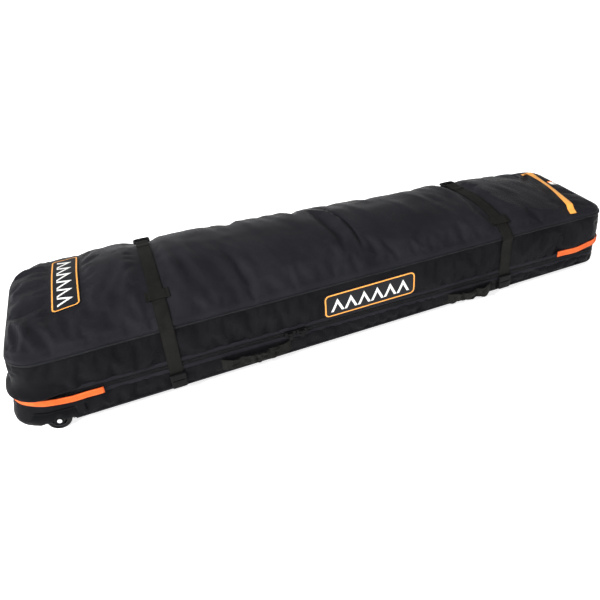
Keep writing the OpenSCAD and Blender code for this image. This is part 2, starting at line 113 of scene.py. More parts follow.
def bell(value, width):
    """exp(-(value / width) squared)."""
    return np.exp(-((value / width) ** 2))


def uneven(u, v, seed, wrap=64):
    """Smooth values from -1 to 1: random numbers at whole u and v, joined by S-curves."""
    table = np.random.default_rng(seed).uniform(-1, 1, (wrap, 64))
    u, v = np.broadcast_arrays(np.asarray(u, float), np.asarray(v, float))
    iu, iv = np.floor(u).astype(int), np.floor(v).astype(int)
    fu, fv = u - iu, v - iv
    fu, fv = fu * fu * (3 - 2 * fu), fv * fv * (3 - 2 * fv)
    a, b = table[iu % wrap, iv % 64], table[(iu + 1) % wrap, iv % 64]
    c, d = table[iu % wrap, (iv + 1) % 64], table[(iu + 1) % wrap, (iv + 1) % 64]
    return (a * (1 - fu) + b * fu) * (1 - fv) + (c * (1 - fu) + d * fu) * fv


def fold(x, y, start, end, width, height, bow=0.0):
    """A ridge of this height along a line from start to end, with a valley on its far side.

    Across the line it is a bell of this width, and along the line it fades out at both ends."""
    way = np.array(end) - np.array(start)
    length = np.hypot(*way)
    along = ((x - start[0]) * way[0] + (y - start[1]) * way[1]) / length**2
    across = ((x - start[0]) * way[1] - (y - start[1]) * way[0]) / length
    inside = np.clip(along, 0, 1)
    across = across + bow * np.sin(np.pi * inside)
    fade = np.sin(np.pi * inside) ** 0.7
    return height * fade * (bell(across, width) - 0.7 * bell(across - 1.7 * width, width))


# %% The plan outline
def half_width(x):
    """Straight side: the half-width in the middle less x times the taper."""
    return mid_half_width - x * taper


def zip_height(x):
    """The zip's height falls in proportion to x."""
    return zip_middle - x * zip_slope


def seam_height(x):
    """The top seam falls a little from the wheel end to the far end, in straight stretches."""
    return np.interp(x, [-0.85, -0.6, -0.3, 0.1, 0.5, 0.85], [0.204, 0.202, 0.197, 0.1925, 0.188, 0.182])


lean = np.arctan(taper)
side_gap = mid_half_width * np.cos(lean)


def corner(sign, radius):
    """Centre of a rounded corner: it touches the end and the sloping side."""
    cx = sign * ((half_length if sign > 0 else wheel_end) - radius)
    return cx, (side_gap - radius - cx * np.sin(lean)) / np.cos(lean)


def edge(x):
    """Half-width of the rounded outline at x: the side line, or the corner's circle beyond it."""
    y = half_width(x)
    for sign, radius in ((1, corner_far), (-1, corner_wheel)):
        cx, cy = corner(sign, radius)
        beyond = sign * (x - cx - radius * np.sin(lean)) > 0
        y = np.where(beyond, cy + np.sqrt(np.maximum(radius**2 - (x - cx) ** 2, 0)), y)
    return y


def edge_distance(x, y):
    """How far a point lies inside the outline: the nearer of side and end, rounded in the corners."""
    side = side_gap - np.abs(y) * np.cos(lean) - x * np.sin(lean)
    end = np.where(x > 0, half_length - x, wheel_end + x)
    radius = np.where(x > 0, corner_far, corner_wheel)
    in_corner = (side < radius) & (end < radius)
    rounded = radius - np.hypot(radius - side, radius - end)
    return np.maximum(np.where(in_corner, rounded, np.minimum(side, end)), 0)


def outline(count):
    """The closed outline at even steps, from the middle of the back round by the wheel end.

    Four arcs and four straight sides make one long line, which is read at equal lengths along it."""
    back_turn, front_turn, last_turn = np.pi / 2 - lean, 1.5 * np.pi + lean, 2.5 * np.pi - lean
    quarters = [(-1, corner_wheel, 1, back_turn, np.pi), (-1, corner_wheel, -1, np.pi, front_turn),
                (1, corner_far, -1, front_turn, 2 * np.pi), (1, corner_far, 1, 2 * np.pi, last_turn)]
    xs, ys, turns = [0.0], [half_width(0.0)], [back_turn]
    for sign, radius, side, first, last in quarters:
        cx, cy = corner(sign, radius)
        turn = np.linspace(first, last, 60)
        xs.extend(cx + radius * np.cos(turn))
        ys.extend(side * cy + radius * np.sin(turn))
        turns.extend(turn)
    xs.append(0.0)
    ys.append(half_width(0.0))
    turns.append(last_turn)
    length = np.concatenate([[0], np.cumsum(np.hypot(np.diff(xs), np.diff(ys)))])
    at = np.linspace(0, length[-1], count, endpoint=False)
    x, y, turn = (np.interp(at, length, value) for value in (xs, ys, turns))
    return {"x": x, "y": y, "nx": np.cos(turn), "ny": np.sin(turn), "s": at, "length": length[-1]}


def wheel_end_shape(points):
    """At the wheel end the top corners are pulled in, most at the back, and the foot is pushed out.

    Each move is its full length times one S-curve of the place in plan and one of the height."""
    back_pull, front_pull, foot_push = 0.016, 0.004, 0.017
    x, y, z = points[..., 0], points[..., 1], points[..., 2]
    from_corner = np.hypot(x + wheel_end, np.abs(y) - half_width(-wheel_end))
    pull = np.where(y > 0, back_pull, front_pull) * smooth_step(0.130, 0.030, from_corner)
    pull = pull * smooth_step(0.09, 0.19, z)
    push = foot_push * smooth_step(-0.792, -0.842, x) * smooth_step(0.13, 0.05, z)
    return np.stack([x + 0.7 * pull - push, y - 0.7 * np.sign(y) * pull, z], -1)


around = outline(820)
print("way round the bag:", round(around["length"], 3), "m")


# %% Turn arrays into meshes
def new_piece(name, points, faces, finishes, uv=None):
    """A mesh object at the origin from an (n, 3) array and faces as index rows."""
    mesh = bpy.data.meshes.new(name)
    groups = faces if isinstance(faces, list) else [faces]
    mesh.from_pydata(np.asarray(points, float).reshape(-1, 3).tolist(), [],
                     [row for group in groups for row in np.asarray(group).tolist()])
    if uv is not None:
        corners = np.empty(len(mesh.loops), np.int32)
        mesh.loops.foreach_get("vertex_index", corners)
        layer = mesh.uv_layers.new(name="along")
        layer.data.foreach_set("uv", np.asarray(uv, float).reshape(-1, 2)[corners].ravel())
    mesh.polygons.foreach_set("use_smooth", np.ones(len(mesh.polygons), bool))
    mesh.update()
    piece = bpy.data.objects.new(name, mesh)
    bpy.context.scene.collection.objects.link(piece)
    for finish in finishes if isinstance(finishes, (list, tuple)) else [finishes]:
        mesh.materials.append(finish)
    return piece


def grid_faces(rows, columns, wrap_rows=False, wrap_columns=False):
    """Four corners of every cell of a grid, whose points are numbered row by row."""
    i = np.arange(rows if wrap_rows else rows - 1)[:, None]
    j = np.arange(columns if wrap_columns else columns - 1)[None, :]
    ni, nj = (i + 1) % rows, (j + 1) % columns
    cells = np.stack([i * columns + j, ni * columns + j, ni * columns + nj, i * columns + nj], -1)
    return cells.reshape(-1, 4)


def outward(piece, merge=True):
    """Merge doubled points, and turn the faces of every closed part of a piece outwards."""
    work = bmesh.new()
    work.from_mesh(piece.data)
    if merge:
        bmesh.ops.remove_doubles(work, verts=work.verts, dist=1e-6)
    bmesh.ops.recalc_face_normals(work, faces=work.faces)
    work.to_mesh(piece.data)
    work.free()
    return piece


def unit(vectors):
    """Every vector divided by its length."""
    vectors = np.asarray(vectors, float)
    return vectors / np.maximum(np.linalg.norm(vectors, axis=-1, keepdims=True), 1e-12)


def path_length(path):
    """How far along a path each of its points lies: the steps' lengths added up."""
    return np.concatenate([[0], np.cumsum(np.linalg.norm(np.diff(path, axis=0), axis=1))])


def read_path(at, length, path):
    """The path's value at each of these lengths, joined by straight lines."""
    return np.stack([np.interp(at, length, path[:, k]) for k in range(path.shape[1])], -1)


def sweep(name, centres, across, out, profile, finish, closed=False):
    """A closed profile carried along a path: centre + a * across + b * out for each profile point."""
    centres, across, out, profile = (np.asarray(a, float) for a in (centres, across, out, profile))
    n, m = len(centres), len(profile)
    points = (centres[:, None] + profile[None, :, 0, None] * across[:, None]
              + profile[None, :, 1, None] * out[:, None])
    uv = np.stack(np.broadcast_arrays(profile[None, :, 0], path_length(centres)[:, None]), -1)
    faces = [grid_faces(n, m, wrap_rows=closed, wrap_columns=True)]
    if not closed:
        faces += [np.arange(m)[None, ::-1], (n - 1) * m + np.arange(m)[None]]
    return outward(new_piece(name, points, faces, finish, uv))


def band_profile(width, thickness, steps=6, crown_part=0.25):
    """A flat band with rounded edges, its inner face at 0: two half rounds joined by straight lines."""
    half, r = width / 2, thickness / 2
    turn = np.linspace(-np.pi / 2, np.pi / 2, 5)
    right = np.stack([half - r + r * np.cos(turn), r + r * np.sin(turn)], -1)
    flat = np.linspace(half - r, r - half, steps + 1)[1:-1]
    top = np.stack([flat, np.full(len(flat), thickness) + crown_part * r * (1 - (flat / half) ** 2)], -1)
    left = np.stack([-right[:, 0], right[:, 1]], -1)[::-1]
    return np.concatenate([right, top, left, np.stack([-flat, np.zeros(len(flat))], -1)])


def round_profile(radius, count=10):
    """A circle of this radius."""
    turn = np.linspace(0, 2 * np.pi, count, endpoint=False)
    return np.stack([radius * np.cos(turn), radius * np.sin(turn)], -1)


def scatter(name, along, sideways, out, places, size, finish):
    """Many small rounded pegs as one mesh, each of four five-sided rings and two ends.

    A peg's point is place + along*a + sideways*b + out*c, for all places at once."""
    turn = np.linspace(0, 2 * np.pi, 5, endpoint=False)
    a = np.repeat([-0.5, -0.3, 0.3, 0.5], 5) * size[0]
    swell = np.repeat([0.45, 1.0, 1.0, 0.45], 5) / 2
    b, c = np.tile(np.cos(turn), 4) * swell * size[1], np.tile(np.sin(turn), 4) * swell * size[2]
    c = c - np.repeat([1.0, 0, 0, 1.0], 5) * size[2] * 0.35
    points = (places[:, None] + a[None, :, None] * along[:, None] + b[None, :, None] * sideways[:, None]
              + c[None, :, None] * out[:, None])
    cell = grid_faces(4, 5, wrap_columns=True)
    shift = (np.arange(len(places)) * 20)[:, None, None]
    ends = np.array([[4, 3, 2, 1, 0], [15, 16, 17, 18, 19]])
    faces = [(cell[None] + shift).reshape(-1, 4), (ends[None] + shift).reshape(-1, 5)]
    return outward(new_piece(name, points, faces, finish), merge=False)


def resample(path, count, soften=0):
    """Points at equal lengths along a path, softened by averaging each with its neighbours."""
    length = path_length(path)
    path = read_path(np.linspace(0, length[-1], count), length, path)
    for _ in range(soften):
        path[1:-1] = (path[:-2] + 2 * path[1:-1] + path[2:]) / 4
    return path


# %% [markdown]
# ## Finishes
# A small class wraps a node's socket, so that a pattern can be written as a sum. Cloth, webbing,
# piping and plastic each get a weave, grain or rib at the real scale, and a little unevenness.


# %% Write shader maths as expressions
class Value:
    """An output socket of a finish. Adding or multiplying it adds Math nodes."""

    def __init__(self, finish, socket):
        self.finish, self.socket = finish, socket

    def maths(self, operation, *others):
        inputs = dict(enumerate((self, *others)))
        return self.finish.node("ShaderNodeMath", {"operation": operation}, inputs)

    def __add__(self, other): return self.maths("ADD", other)
    def __sub__(self, other): return self.maths("SUBTRACT", other)
    def __mul__(self, other): return self.maths("MULTIPLY", other)
    def __rsub__(self, other): return (self * -1.0) + other
    def __abs__(self): return self.maths("ABSOLUTE")
    __radd__, __rmul__ = __add__, __mul__

    def sine(self): return self.maths("SINE")
    def root(self): return self.maths("SQRT")
    def fraction(self): return self.maths("FRACT")
    def at_least(self, other): return self.maths("MAXIMUM", other)

    def step(self, low, high):
        """0 below low, 1 above high, and an S-curve between."""
        return self.finish.node("ShaderNodeMapRange", {"interpolation_type": "SMOOTHSTEP"},
                                {"Value": self, "From Min": low, "From Max": high})


class Finish:
    """A material built by code, with one Principled shader at its end."""

    def __init__(self, name):
        self.material = bpy.data.materials.new(name)
        self.material.use_nodes = True
        self.tree = self.material.node_tree
        self.shader = self.tree.nodes["Principled BSDF"]

    def node(self, kind, settings=None, inputs=None, output=0):
        made = self.tree.nodes.new(kind)
        for key, value in (settings or {}).items():
            setattr(made, key, value)
        for key, value in (inputs or {}).items():
            if isinstance(value, Value):
                self.tree.links.new(value.socket, made.inputs[key])
            else:
                made.inputs[key].default_value = value
        return Value(self, made.outputs[output])

    def place(self):
        """The point on the piece, in metres."""
        return self.node("ShaderNodeTexCoord", output="Object")

    def parts(self, vector, count=3):
        """The first parts of a vector: x, y and z."""
        return [self.node("ShaderNodeSeparateXYZ", {}, {0: vector}, output=k) for k in range(count)]

    def along(self):
        """Across and along a band, in metres."""
        return self.parts(self.node("ShaderNodeUVMap", {"uv_map": "along"}), 2)

    def cloud(self, where, scale, detail=3.0, rough=0.55):
        """Soft noise with so many blotches to a metre."""
        return self.node("ShaderNodeTexNoise", {}, {"Vector": where, "Scale": scale, "Detail": detail,
                                                    "Roughness": rough})

    def blend(self, share, first, second):
        """A colour between two colours."""
        one, two = [(*c, 1.0) if isinstance(c, tuple) else c for c in (first, second)]
        return self.node("ShaderNodeMix", {"data_type": "RGBA"}, {0: share, 6: one, 7: two}, output=2)

    def bump(self, height, distance):
        """A bumped normal: a height of 1 stands this distance off the surface."""
        return self.node("ShaderNodeBump", {}, {"Height": height, "Distance": distance, "Strength": 1.0})

    def set(self, **values):
        """Connect or set sockets of the shader: Base_Color becomes Base Color."""
        for key, value in values.items():
            socket = self.shader.inputs[key.replace("_", " ")]
            if isinstance(value, Value):
                self.tree.links.new(value.socket, socket)
            else:
                socket.default_value = (*value, 1.0) if isinstance(value, tuple) else value
        return self.material


# %% Bag cloth: coated woven polyester
def bag_cloth(name, dark, light, roughness, weave=0.00075, depth=0.00022, gloss=0.018):
    """Plain weave: two crossed waves multiplied, with cloudy shade and gloss."""
    finish = Finish(name)
    where = finish.place()
    x, y, z = finish.parts(where)
    pitch = 2 * np.pi / weave
    threads = ((x + y) * pitch).sine() * ((y - x + z * 1.4) * pitch).sine()
    clouds, fine = finish.cloud(where, 9.0), finish.cloud(where, 420.0, 2.0)
    shade = clouds * 0.6 + fine * 0.25 + threads * 0.12
    soft = finish.cloud(where, 55.0, 4.0, 0.6)
    height = threads * 0.5 + soft * 2.2
    return finish.set(Base_Color=finish.blend(shade.step(0.1, 0.8), dark, light),
                      Roughness=clouds * 0.14 + fine * 0.08 + (roughness - 0.11),
                      Normal=finish.bump(height, depth), Specular_IOR_Level=gloss)


cloth = bag_cloth("cloth_black", (0.0100, 0.0100, 0.0122), (0.0215, 0.0215, 0.0258), 0.36)
# The walls' cloth is the top's cloth made about half as bright: painted shade, since the walls take less
# light.
shaded_wall_cloth = bag_cloth("cloth_wall", (0.0046, 0.0046, 0.0055), (0.0112, 0.0112, 0.0132), 0.38)
# The coated cloth of base and corner guard is its own black darkened further: painted shade at the bag's
# foot.
coated = bag_cloth("cloth_coated", (0.0018, 0.0019, 0.0025), (0.0046, 0.0049, 0.0062), 0.36, 0.0011, 0.0003)
lining = bag_cloth("cloth_lining", (0.035, 0.036, 0.04), (0.055, 0.057, 0.062), 0.62, 0.0012, gloss=0.2)


# %% Webbing: ribs across a band, darker woven edges
def webbing(name, dark, light, half, rib=0.0016, roughness=0.62, sheen=0.0):
    """Ribs run across the band and the weft zigzags, so the height is two waves multiplied."""
    finish = Finish(name)
    across, along = finish.along()
    where = finish.place()
    ribs = (along * (2 * np.pi / rib)).sine()
    cords = (across * (2 * np.pi / 0.0024)).sine()
    zigzag = ribs * 0.6 + (cords * ribs) * 0.5
    clouds, fine = finish.cloud(where, 40.0), finish.cloud(where, 900.0, 2.0)
    selvage = abs(across).step(half - 0.0028, half - 0.0012)
    shade = clouds * 0.7 + fine * 0.3 + zigzag * 0.14 - selvage * 0.25
    return finish.set(Base_Color=finish.blend(shade.step(0.1, 0.85), dark, light),
                      Roughness=fine * 0.2 + (roughness - 0.1), Specular_IOR_Level=0.04,
                      Normal=finish.bump(zigzag + fine * 1.2, 0.00025),
                      Sheen_Weight=sheen, Sheen_Roughness=0.5)


web_black = webbing("webbing_black", (0.0070, 0.0069, 0.0063), (0.0138, 0.0136, 0.0124), strap_width / 2)
web_orange = webbing("webbing_orange", (0.60, 0.082, 0.014), (0.84, 0.155, 0.034), 0.009, 0.0013, 0.55, 0.05)
web_amber = webbing("webbing_amber", (0.88, 0.34, 0.055), (1.0, 0.50, 0.10), 0.010, 0.0013, 0.55, 0.1)
tape_black = webbing("tape_black", (0.0045, 0.0045, 0.0052), (0.0095, 0.0095, 0.0105), 0.006, 0.0011, 0.5)
# The piping is lighter than the walls' darker cloth, so each seam shows a light line: a painted highlight on
# a black cord.
piping_black = webbing("piping_black", (0.0095, 0.0097, 0.0112), (0.0190, 0.0194, 0.0220), 0.02, 0.0019, 0.36)


# %% Thread, plastic, metal and rubber
def moulded(name, colour, roughness, grain=900.0, depth=0.00006, metallic=0.0, scuff=0.02, gloss=0.12):
    """Fine cast grain, cloudy gloss and faint scuffs."""
    finish = Finish(name)
    where = finish.place()
    clouds, fine = finish.cloud(where, 30.0, 5.0), finish.cloud(where, grain, 3.0)
    scuffs = finish.cloud(where, 150.0, 6.0, 0.7).step(0.62, 0.74)
    lighter = tuple(min(1.0, c * 1.5 + scuff) for c in colour)
    return finish.set(Base_Color=finish.blend(clouds * 0.25 + scuffs * 0.35, colour, lighter),
                      Roughness=clouds * 0.2 + fine * 0.1 + (roughness - 0.15) + scuffs * 0.12,
                      Metallic=metallic, Normal=finish.bump(fine, depth), Specular_IOR_Level=gloss)


plastic = moulded("plastic_black", (0.0036, 0.0036, 0.0040), 0.40, scuff=0.0025, gloss=0.07)
thread = moulded("thread_black", (0.013, 0.013, 0.0145), 0.5, 2500.0)
thread_orange = moulded("thread_orange", (0.95, 0.30, 0.10), 0.55, 2500.0)
coil_finish = moulded("coil_black", (0.006, 0.006, 0.007), 0.35, scuff=0.004)
steel = moulded("steel", (0.62, 0.62, 0.64), 0.30, 1200.0, 0.00003, 1.0, 0.05, 0.5)
rubber = moulded("tyre_rubber", (0.0060, 0.0060, 0.0066), 0.36, 700.0, 0.0001, 0.0, 0.008, 0.07)
rim_finish = moulded("rim_grey", (0.012, 0.012, 0.0135), 0.38, scuff=0.006)
board_finish = moulded("board_plastic", (0.32, 0.31, 0.29), 0.5, 300.0, 0.0002)


# %% [markdown]
# ## The camera and the studio
# The camera stands in front of the wheel end, above the bag, and is tipped a little to one side. The
# floor is plain and nearly white. The sky is white near the horizon and grey overhead, because light
# from above would wash out black cloth. One strong light from the wheel end draws the folds, and two
# weak ones lift the top and the back.

# %% Camera
camera_data = bpy.data.cameras.new("camera")
camera_data.sensor_width, camera_data.lens = 36.0, 37.554
camera_data.clip_end = 60
camera = bpy.data.objects.new("camera", camera_data)
bpy.context.scene.collection.objects.link(camera)
bpy.context.scene.camera = camera
camera_place = (-0.5008, -1.5027, 1.0384)
yaw, pitch, roll = 0.2823, -0.5719, -0.0959
ahead = np.array([np.sin(yaw) * np.cos(pitch), np.cos(yaw) * np.cos(pitch), np.sin(pitch)])
level = np.array([np.cos(yaw), -np.sin(yaw), 0])
above = np.cross(level, ahead)
right = np.cos(roll) * level + np.sin(roll) * above
up = -np.sin(roll) * level + np.cos(roll) * above
pose = np.eye(4)
pose[:3, 0], pose[:3, 1], pose[:3, 2], pose[:3, 3] = right, up, -ahead, camera_place
camera.matrix_world = Matrix(pose.tolist())


# %% Floor, world and lights
def studio_light(name, place, target, size, power):
    """A white rectangle of light that faces its target."""
    data = bpy.data.lights.new(name, "AREA")
    data.shape, data.energy = "RECTANGLE", power
    data.size, data.size_y = size
    lamp = bpy.data.objects.new(name, data)
    back = unit(np.array(place) - np.array(target))
    side = unit(np.cross((0, 0, 1), back))
    turned = np.eye(4)
    turned[:3, 0], turned[:3, 1], turned[:3, 2], turned[:3, 3] = side, np.cross(back, side), back, place
    lamp.matrix_world = Matrix(turned.tolist())
    bpy.context.scene.collection.objects.link(lamp)


pale = Finish("floor_pale")
pale_shade = pale.cloud(pale.place(), 1.5)
pale.set(Base_Color=pale.blend(pale_shade, (0.90, 0.90, 0.90), (0.93, 0.93, 0.93)), Roughness=0.6,
         Specular_IOR_Level=0.2, Emission_Color=(1, 1, 1), Emission_Strength=0.80)
floor_half, floor_lines, floor_drop = 45, 19, 0.0004
floor_x, floor_y = np.meshgrid(*[np.linspace(-floor_half, floor_half, floor_lines)] * 2, indexing="ij")
floor_points = np.stack([floor_x, floor_y, 0 * floor_x - floor_drop], -1)
floor = new_piece("floor", floor_points, grid_faces(floor_lines, floor_lines), pale.material)

world = bpy.data.worlds.new("studio")
bpy.context.scene.world = world
world.use_nodes = True
sky = world.node_tree
sky_way = sky.nodes.new("ShaderNodeTexCoord")
sky_split = sky.nodes.new("ShaderNodeSeparateXYZ")
sky_fade = sky.nodes.new("ShaderNodeMapRange")
sky_fade.interpolation_type = "SMOOTHSTEP"
for setting, value in {"From Min": 0.10, "From Max": 0.45, "To Min": 1.0, "To Max": 0.20}.items():
    sky_fade.inputs[setting].default_value = value
sky.links.new(sky_way.outputs["Generated"], sky_split.inputs[0])
sky.links.new(sky_split.outputs["Z"], sky_fade.inputs[0])
sky.links.new(sky_fade.outputs[0], sky.nodes["Background"].inputs[0])
studio_light("key", (-4.4, -2.4, 2.9), (0.0, 0, 0.1), (1.6, 1.2), 420)
studio_light("top", (0.1, -0.7, 2.8), (0.0, 0, 0.1), (2.4, 1.0), 42)
studio_light("back", (0.9, 2.3, 1.9), (0.1, 0, 0.1), (2.0, 1.0), 3)
bpy.context.scene.view_settings.view_transform = "Standard"

# %% [markdown]
# ## The lid's padded top
# On the real bag this is one large quilted panel, stretched over what is inside and sewn all round
# to the side wall. The two straps pull it in. It is a height worked out over a grid, then cloth
# simulation lets the stretched panel find its own small wrinkles, with its seams held.


# %% Where the straps and badges keep the cloth calm
badge_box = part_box("top_badge")


def strap_pull(x):
    """1 at a strap, 0 away from it, as a bell 30 mm wide."""
    return sum(bell(x - place, 0.030) for place in strap_at.values())


def calm(x, y):
    """1 where cloth is free, 0 under straps, badge and handle, with S-curves of the distance between."""
    free = np.ones(np.broadcast(x, y).shape)
    for place in strap_at.values():
        free = free * smooth_step(0.020, 0.055, np.abs(x - place))
    badge_off = np.maximum(np.abs(x - top_badge_x) - 0.036,
                           np.maximum(y - badge_box[1][1], badge_box[0][1] - 0.022 - y))
    beside = x - grab_near[0] - 0.17 * (y - grab_near[1])
    handle_off = np.hypot(beside, np.maximum(np.abs(y + 0.015) - 0.145, 0))
    return free * smooth_step(0.0, 0.03, badge_off) * smooth_step(0.014, 0.04, handle_off)


# %% The top's height
cover_folds = [
    # start, end, width, height, bow
    ((0.052, 0.110), (0.078, -0.160), 0.0065, -0.0060, 0.012),
    ((0.030, 0.115), (0.058, -0.150), 0.016, 0.0050, 0.012),
    ((-0.430, 0.060), (-0.395, -0.200), 0.013, 0.0045, 0.006),
    ((-0.385, 0.085), (-0.335, -0.170), 0.014, 0.0040, -0.006),
    ((-0.345, 0.050), (-0.265, -0.205), 0.016, 0.0036, 0.010),
    ((-0.290, 0.020), (-0.215, -0.190), 0.015, 0.0026, 0.006),
    ((-0.500, -0.02), (-0.560, -0.200), 0.013, 0.0034, -0.008),
    ((-0.520, 0.020), (-0.600, -0.150), 0.016, 0.0030, 0.010),
    ((-0.545, -0.10), (-0.505, -0.215), 0.010, 0.0030, 0.004),
    ((0.540, 0.060), (0.565, -0.110), 0.011, 0.0038, -0.014),
    ((0.450, 0.100), (0.420, -0.150), 0.014, 0.0026, 0.010),
    ((-0.812, -0.060), (-0.790, -0.225), 0.0085, 0.0105, 0.010),
    ((-0.785, -0.095), (-0.758, -0.235), 0.0075, 0.0080, -0.008),
    ((-0.755, -0.130), (-0.715, -0.236), 0.0080, 0.0050, 0.006),
    ((-0.838, -0.020), (-0.825, -0.170), 0.0080, 0.0070, 0.004),
    ((0.300, 0.150), (0.340, -0.060), 0.022, 0.0024, 0.010),
    ((-0.060, 0.170), (-0.020, -0.040), 0.024, 0.0026, -0.012),
]


def puckered(x):
    """More puckers towards the wheel end, fewer past the middle."""
    return 0.35 + 0.65 * smooth_step(0.0, -0.35, x)


def cover_height(x, y):
    """Seam height + rolled edge + crown + strap dents + lumps + puckers + folds.

    The crown is (1 - |x|^3)(1 - |y|^p) with x and y as shares of the half-length and half-width.
    The power p is 2.4, and less on the back towards the far end, where the top is rounder."""
    inside = edge_distance(x, y)
    roll = edge_roll * (1 - np.exp(-inside / 0.007))
    fuller = np.interp(x, [-0.85, -0.45, -0.2, 0.1, 0.5, 0.85], [1.08, 1.16, 1.05, 0.88, 0.79, 0.70])
    dome = fuller * crown * (1 - np.minimum(1, np.abs(x) / half_length) ** 3)
    fall = np.where(y > 0, np.interp(x, [-0.3, 0.1, 0.85], [2.4, 2.1, 1.9]), 2.4)
    dome = dome * (1 - np.minimum(1, np.abs(y) / half_width(x)) ** fall)
    loose = smooth_step(0.0, 0.04, inside)
    dent = -0.0030 * strap_pull(x) * smooth_step(0.0, 0.02, inside)
    shoulder = sum(0.0016 * bell(np.abs(x - p) - 0.062, 0.030) for p in strap_at.values()) * loose
    lumps = 0.0034 * uneven(x / 0.21, y / 0.13, 3) + 0.0021 * uneven(x / 0.085, y / 0.055, 4)
    drag = 0.0017 * uneven((x + 0.25 * y) / 0.022, y / 0.11, 6)
    pucker = -0.0075 * np.maximum(0, uneven(x / 0.0135, y / 0.3, 5) - 0.1)
    pucker = pucker * bell(inside - 0.009, 0.011) * puckered(x)
    folds = sum(fold(x, y, *one) for one in cover_folds)
    free = calm(x, y)
    return (seam_height(x) + roll + dome + dent + shoulder + (lumps + drag * free) * loose
            + pucker + folds * free * loose)


# %% The grid of the top
corner_turn = np.linspace(0, np.pi / 2, 15)
cover_x = np.concatenate([-wheel_end + corner_wheel * (1 - np.cos(corner_turn)),
                          np.linspace(-wheel_end + corner_wheel, half_length - corner_far, 286)[1:-1],
                          half_length - corner_far * (1 - np.cos(corner_turn[::-1]))])
share = np.linspace(-1, 1, 91)
share = share + 0.45 * np.sin(np.pi * share) / np.pi


def sheet_grid(height):
    """Points (x, share of the outline's half-width, height there)."""
    x = np.broadcast_to(cover_x[:, None], (len(cover_x), len(share)))
    y = edge(x) * share[None]
    return np.stack([x, y, height(x, y)], -1)


def overhang(points, reach):
    """Moves points near the edge outwards, as a bell 6 mm in, so that the cloth rolls over its seam."""
    x, y = points[..., 0], points[..., 1]
    tiny = 0.0005
    slope_x = edge_distance(x - tiny, y) - edge_distance(x + tiny, y)
    slope_y = edge_distance(x, y - tiny) - edge_distance(x, y + tiny)
    way_out = unit(np.stack([slope_x, slope_y, np.zeros_like(x)], -1))
    return points + reach * bell(edge_distance(x, y) - 0.006, 0.005)[..., None] * way_out


cover_points = wheel_end_shape(overhang(sheet_grid(cover_height), 0.0044))
cover = new_piece("top_cover", cover_points, grid_faces(*cover_points.shape[:2]), [cloth, lining])
print("top cover:", len(cover.data.vertices), "points, highest", round(cover_points[..., 2].max(), 4))


# %% Let the cloth settle
def settle(piece, held, mask, extra, pressure, cap, bending=4.0):
    """Cloth simulation on the piece itself: held points stay, and the cloth is a share longer than
    its place and is blown out a little. Each point's move is capped and multiplied by the mask."""
    start = np.empty(len(piece.data.vertices) * 3)
    piece.data.vertices.foreach_get("co", start)
    piece.vertex_groups.new(name="held").add(np.flatnonzero(held).tolist(), 1.0, "REPLACE")
    modifier = piece.modifiers.new("cloth", "CLOTH")
    set_up = modifier.settings
    set_up.quality, set_up.mass, set_up.air_damping = 5, 0.25, 2.0
    set_up.tension_stiffness = set_up.compression_stiffness = 18
    set_up.shear_stiffness, set_up.bending_stiffness = 8, bending
    set_up.use_pressure, set_up.uniform_pressure_force = True, pressure
    set_up.shrink_min = -extra
    set_up.vertex_group_mass, set_up.effector_weights.gravity = "held", 0
    modifier.collision_settings.use_collision = False
    scene = bpy.context.scene
    for step in range(1, 21):
        scene.frame_set(step)
    settled = np.empty_like(start)
    shaped = piece.evaluated_get(bpy.context.evaluated_depsgraph_get()).to_mesh()
    shaped.vertices.foreach_get("co", settled)
    piece.modifiers.remove(modifier)
    move = (settled - start).reshape(-1, 3)
    size = np.linalg.norm(move, axis=1)
    move *= (np.minimum(1, cap / np.maximum(size, 1e-9)) * mask)[:, None]
    piece.data.vertices.foreach_set("co", (start.reshape(-1, 3) + move).ravel())
    piece.data.update()
    piece.vertex_groups.clear()
    scene.frame_set(1)
    print(piece.name, "settled: moved up to", round(1000 * float(size.max()), 1), "mm, kept",
          round(1000 * float(np.linalg.norm(move, axis=1).max()), 1), "mm")


def pad_out(piece, thickness, body, slot, *stands_for, fill=0.6):
    """Give the cloth its padding and lining inwards, and hang it on a body."""
    wall = piece.modifiers.new("padding", "SOLIDIFY")
    wall.thickness, wall.offset, wall.material_offset, wall.use_rim = thickness, -1, 1, True
    wall.use_quality_normals = True
    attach(piece, body), piece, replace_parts(piece, *stands_for)


cover_x_flat, cover_y_flat, _ = cover_points.reshape(-1, 3).T
cover_inside = edge_distance(cover_x_flat, cover_y_flat)
cover_calm = calm(cover_x_flat, cover_y_flat)
border = np.zeros(cover_points.shape[:2], bool)
border[[0, -1]] = border[:, [0, -1]] = True
settle(cover, border.ravel() | (cover_calm < 0.02), cover_calm * smooth_step(0, 0.02, cover_inside),
       0.022, 1.1, 0.0075)
pad_out(cover, 0.0055, "lid", "padded_cloth", "top_panel")

# %% [markdown]
# ## The side walls
# Two padded strips stand round the bag: the lid's wall above the zip and the tub's wall below it.
# Each is a ring: one parameter runs round the outline and the other up the wall, and the cloth
# stands out from the outline by a few millimetres.


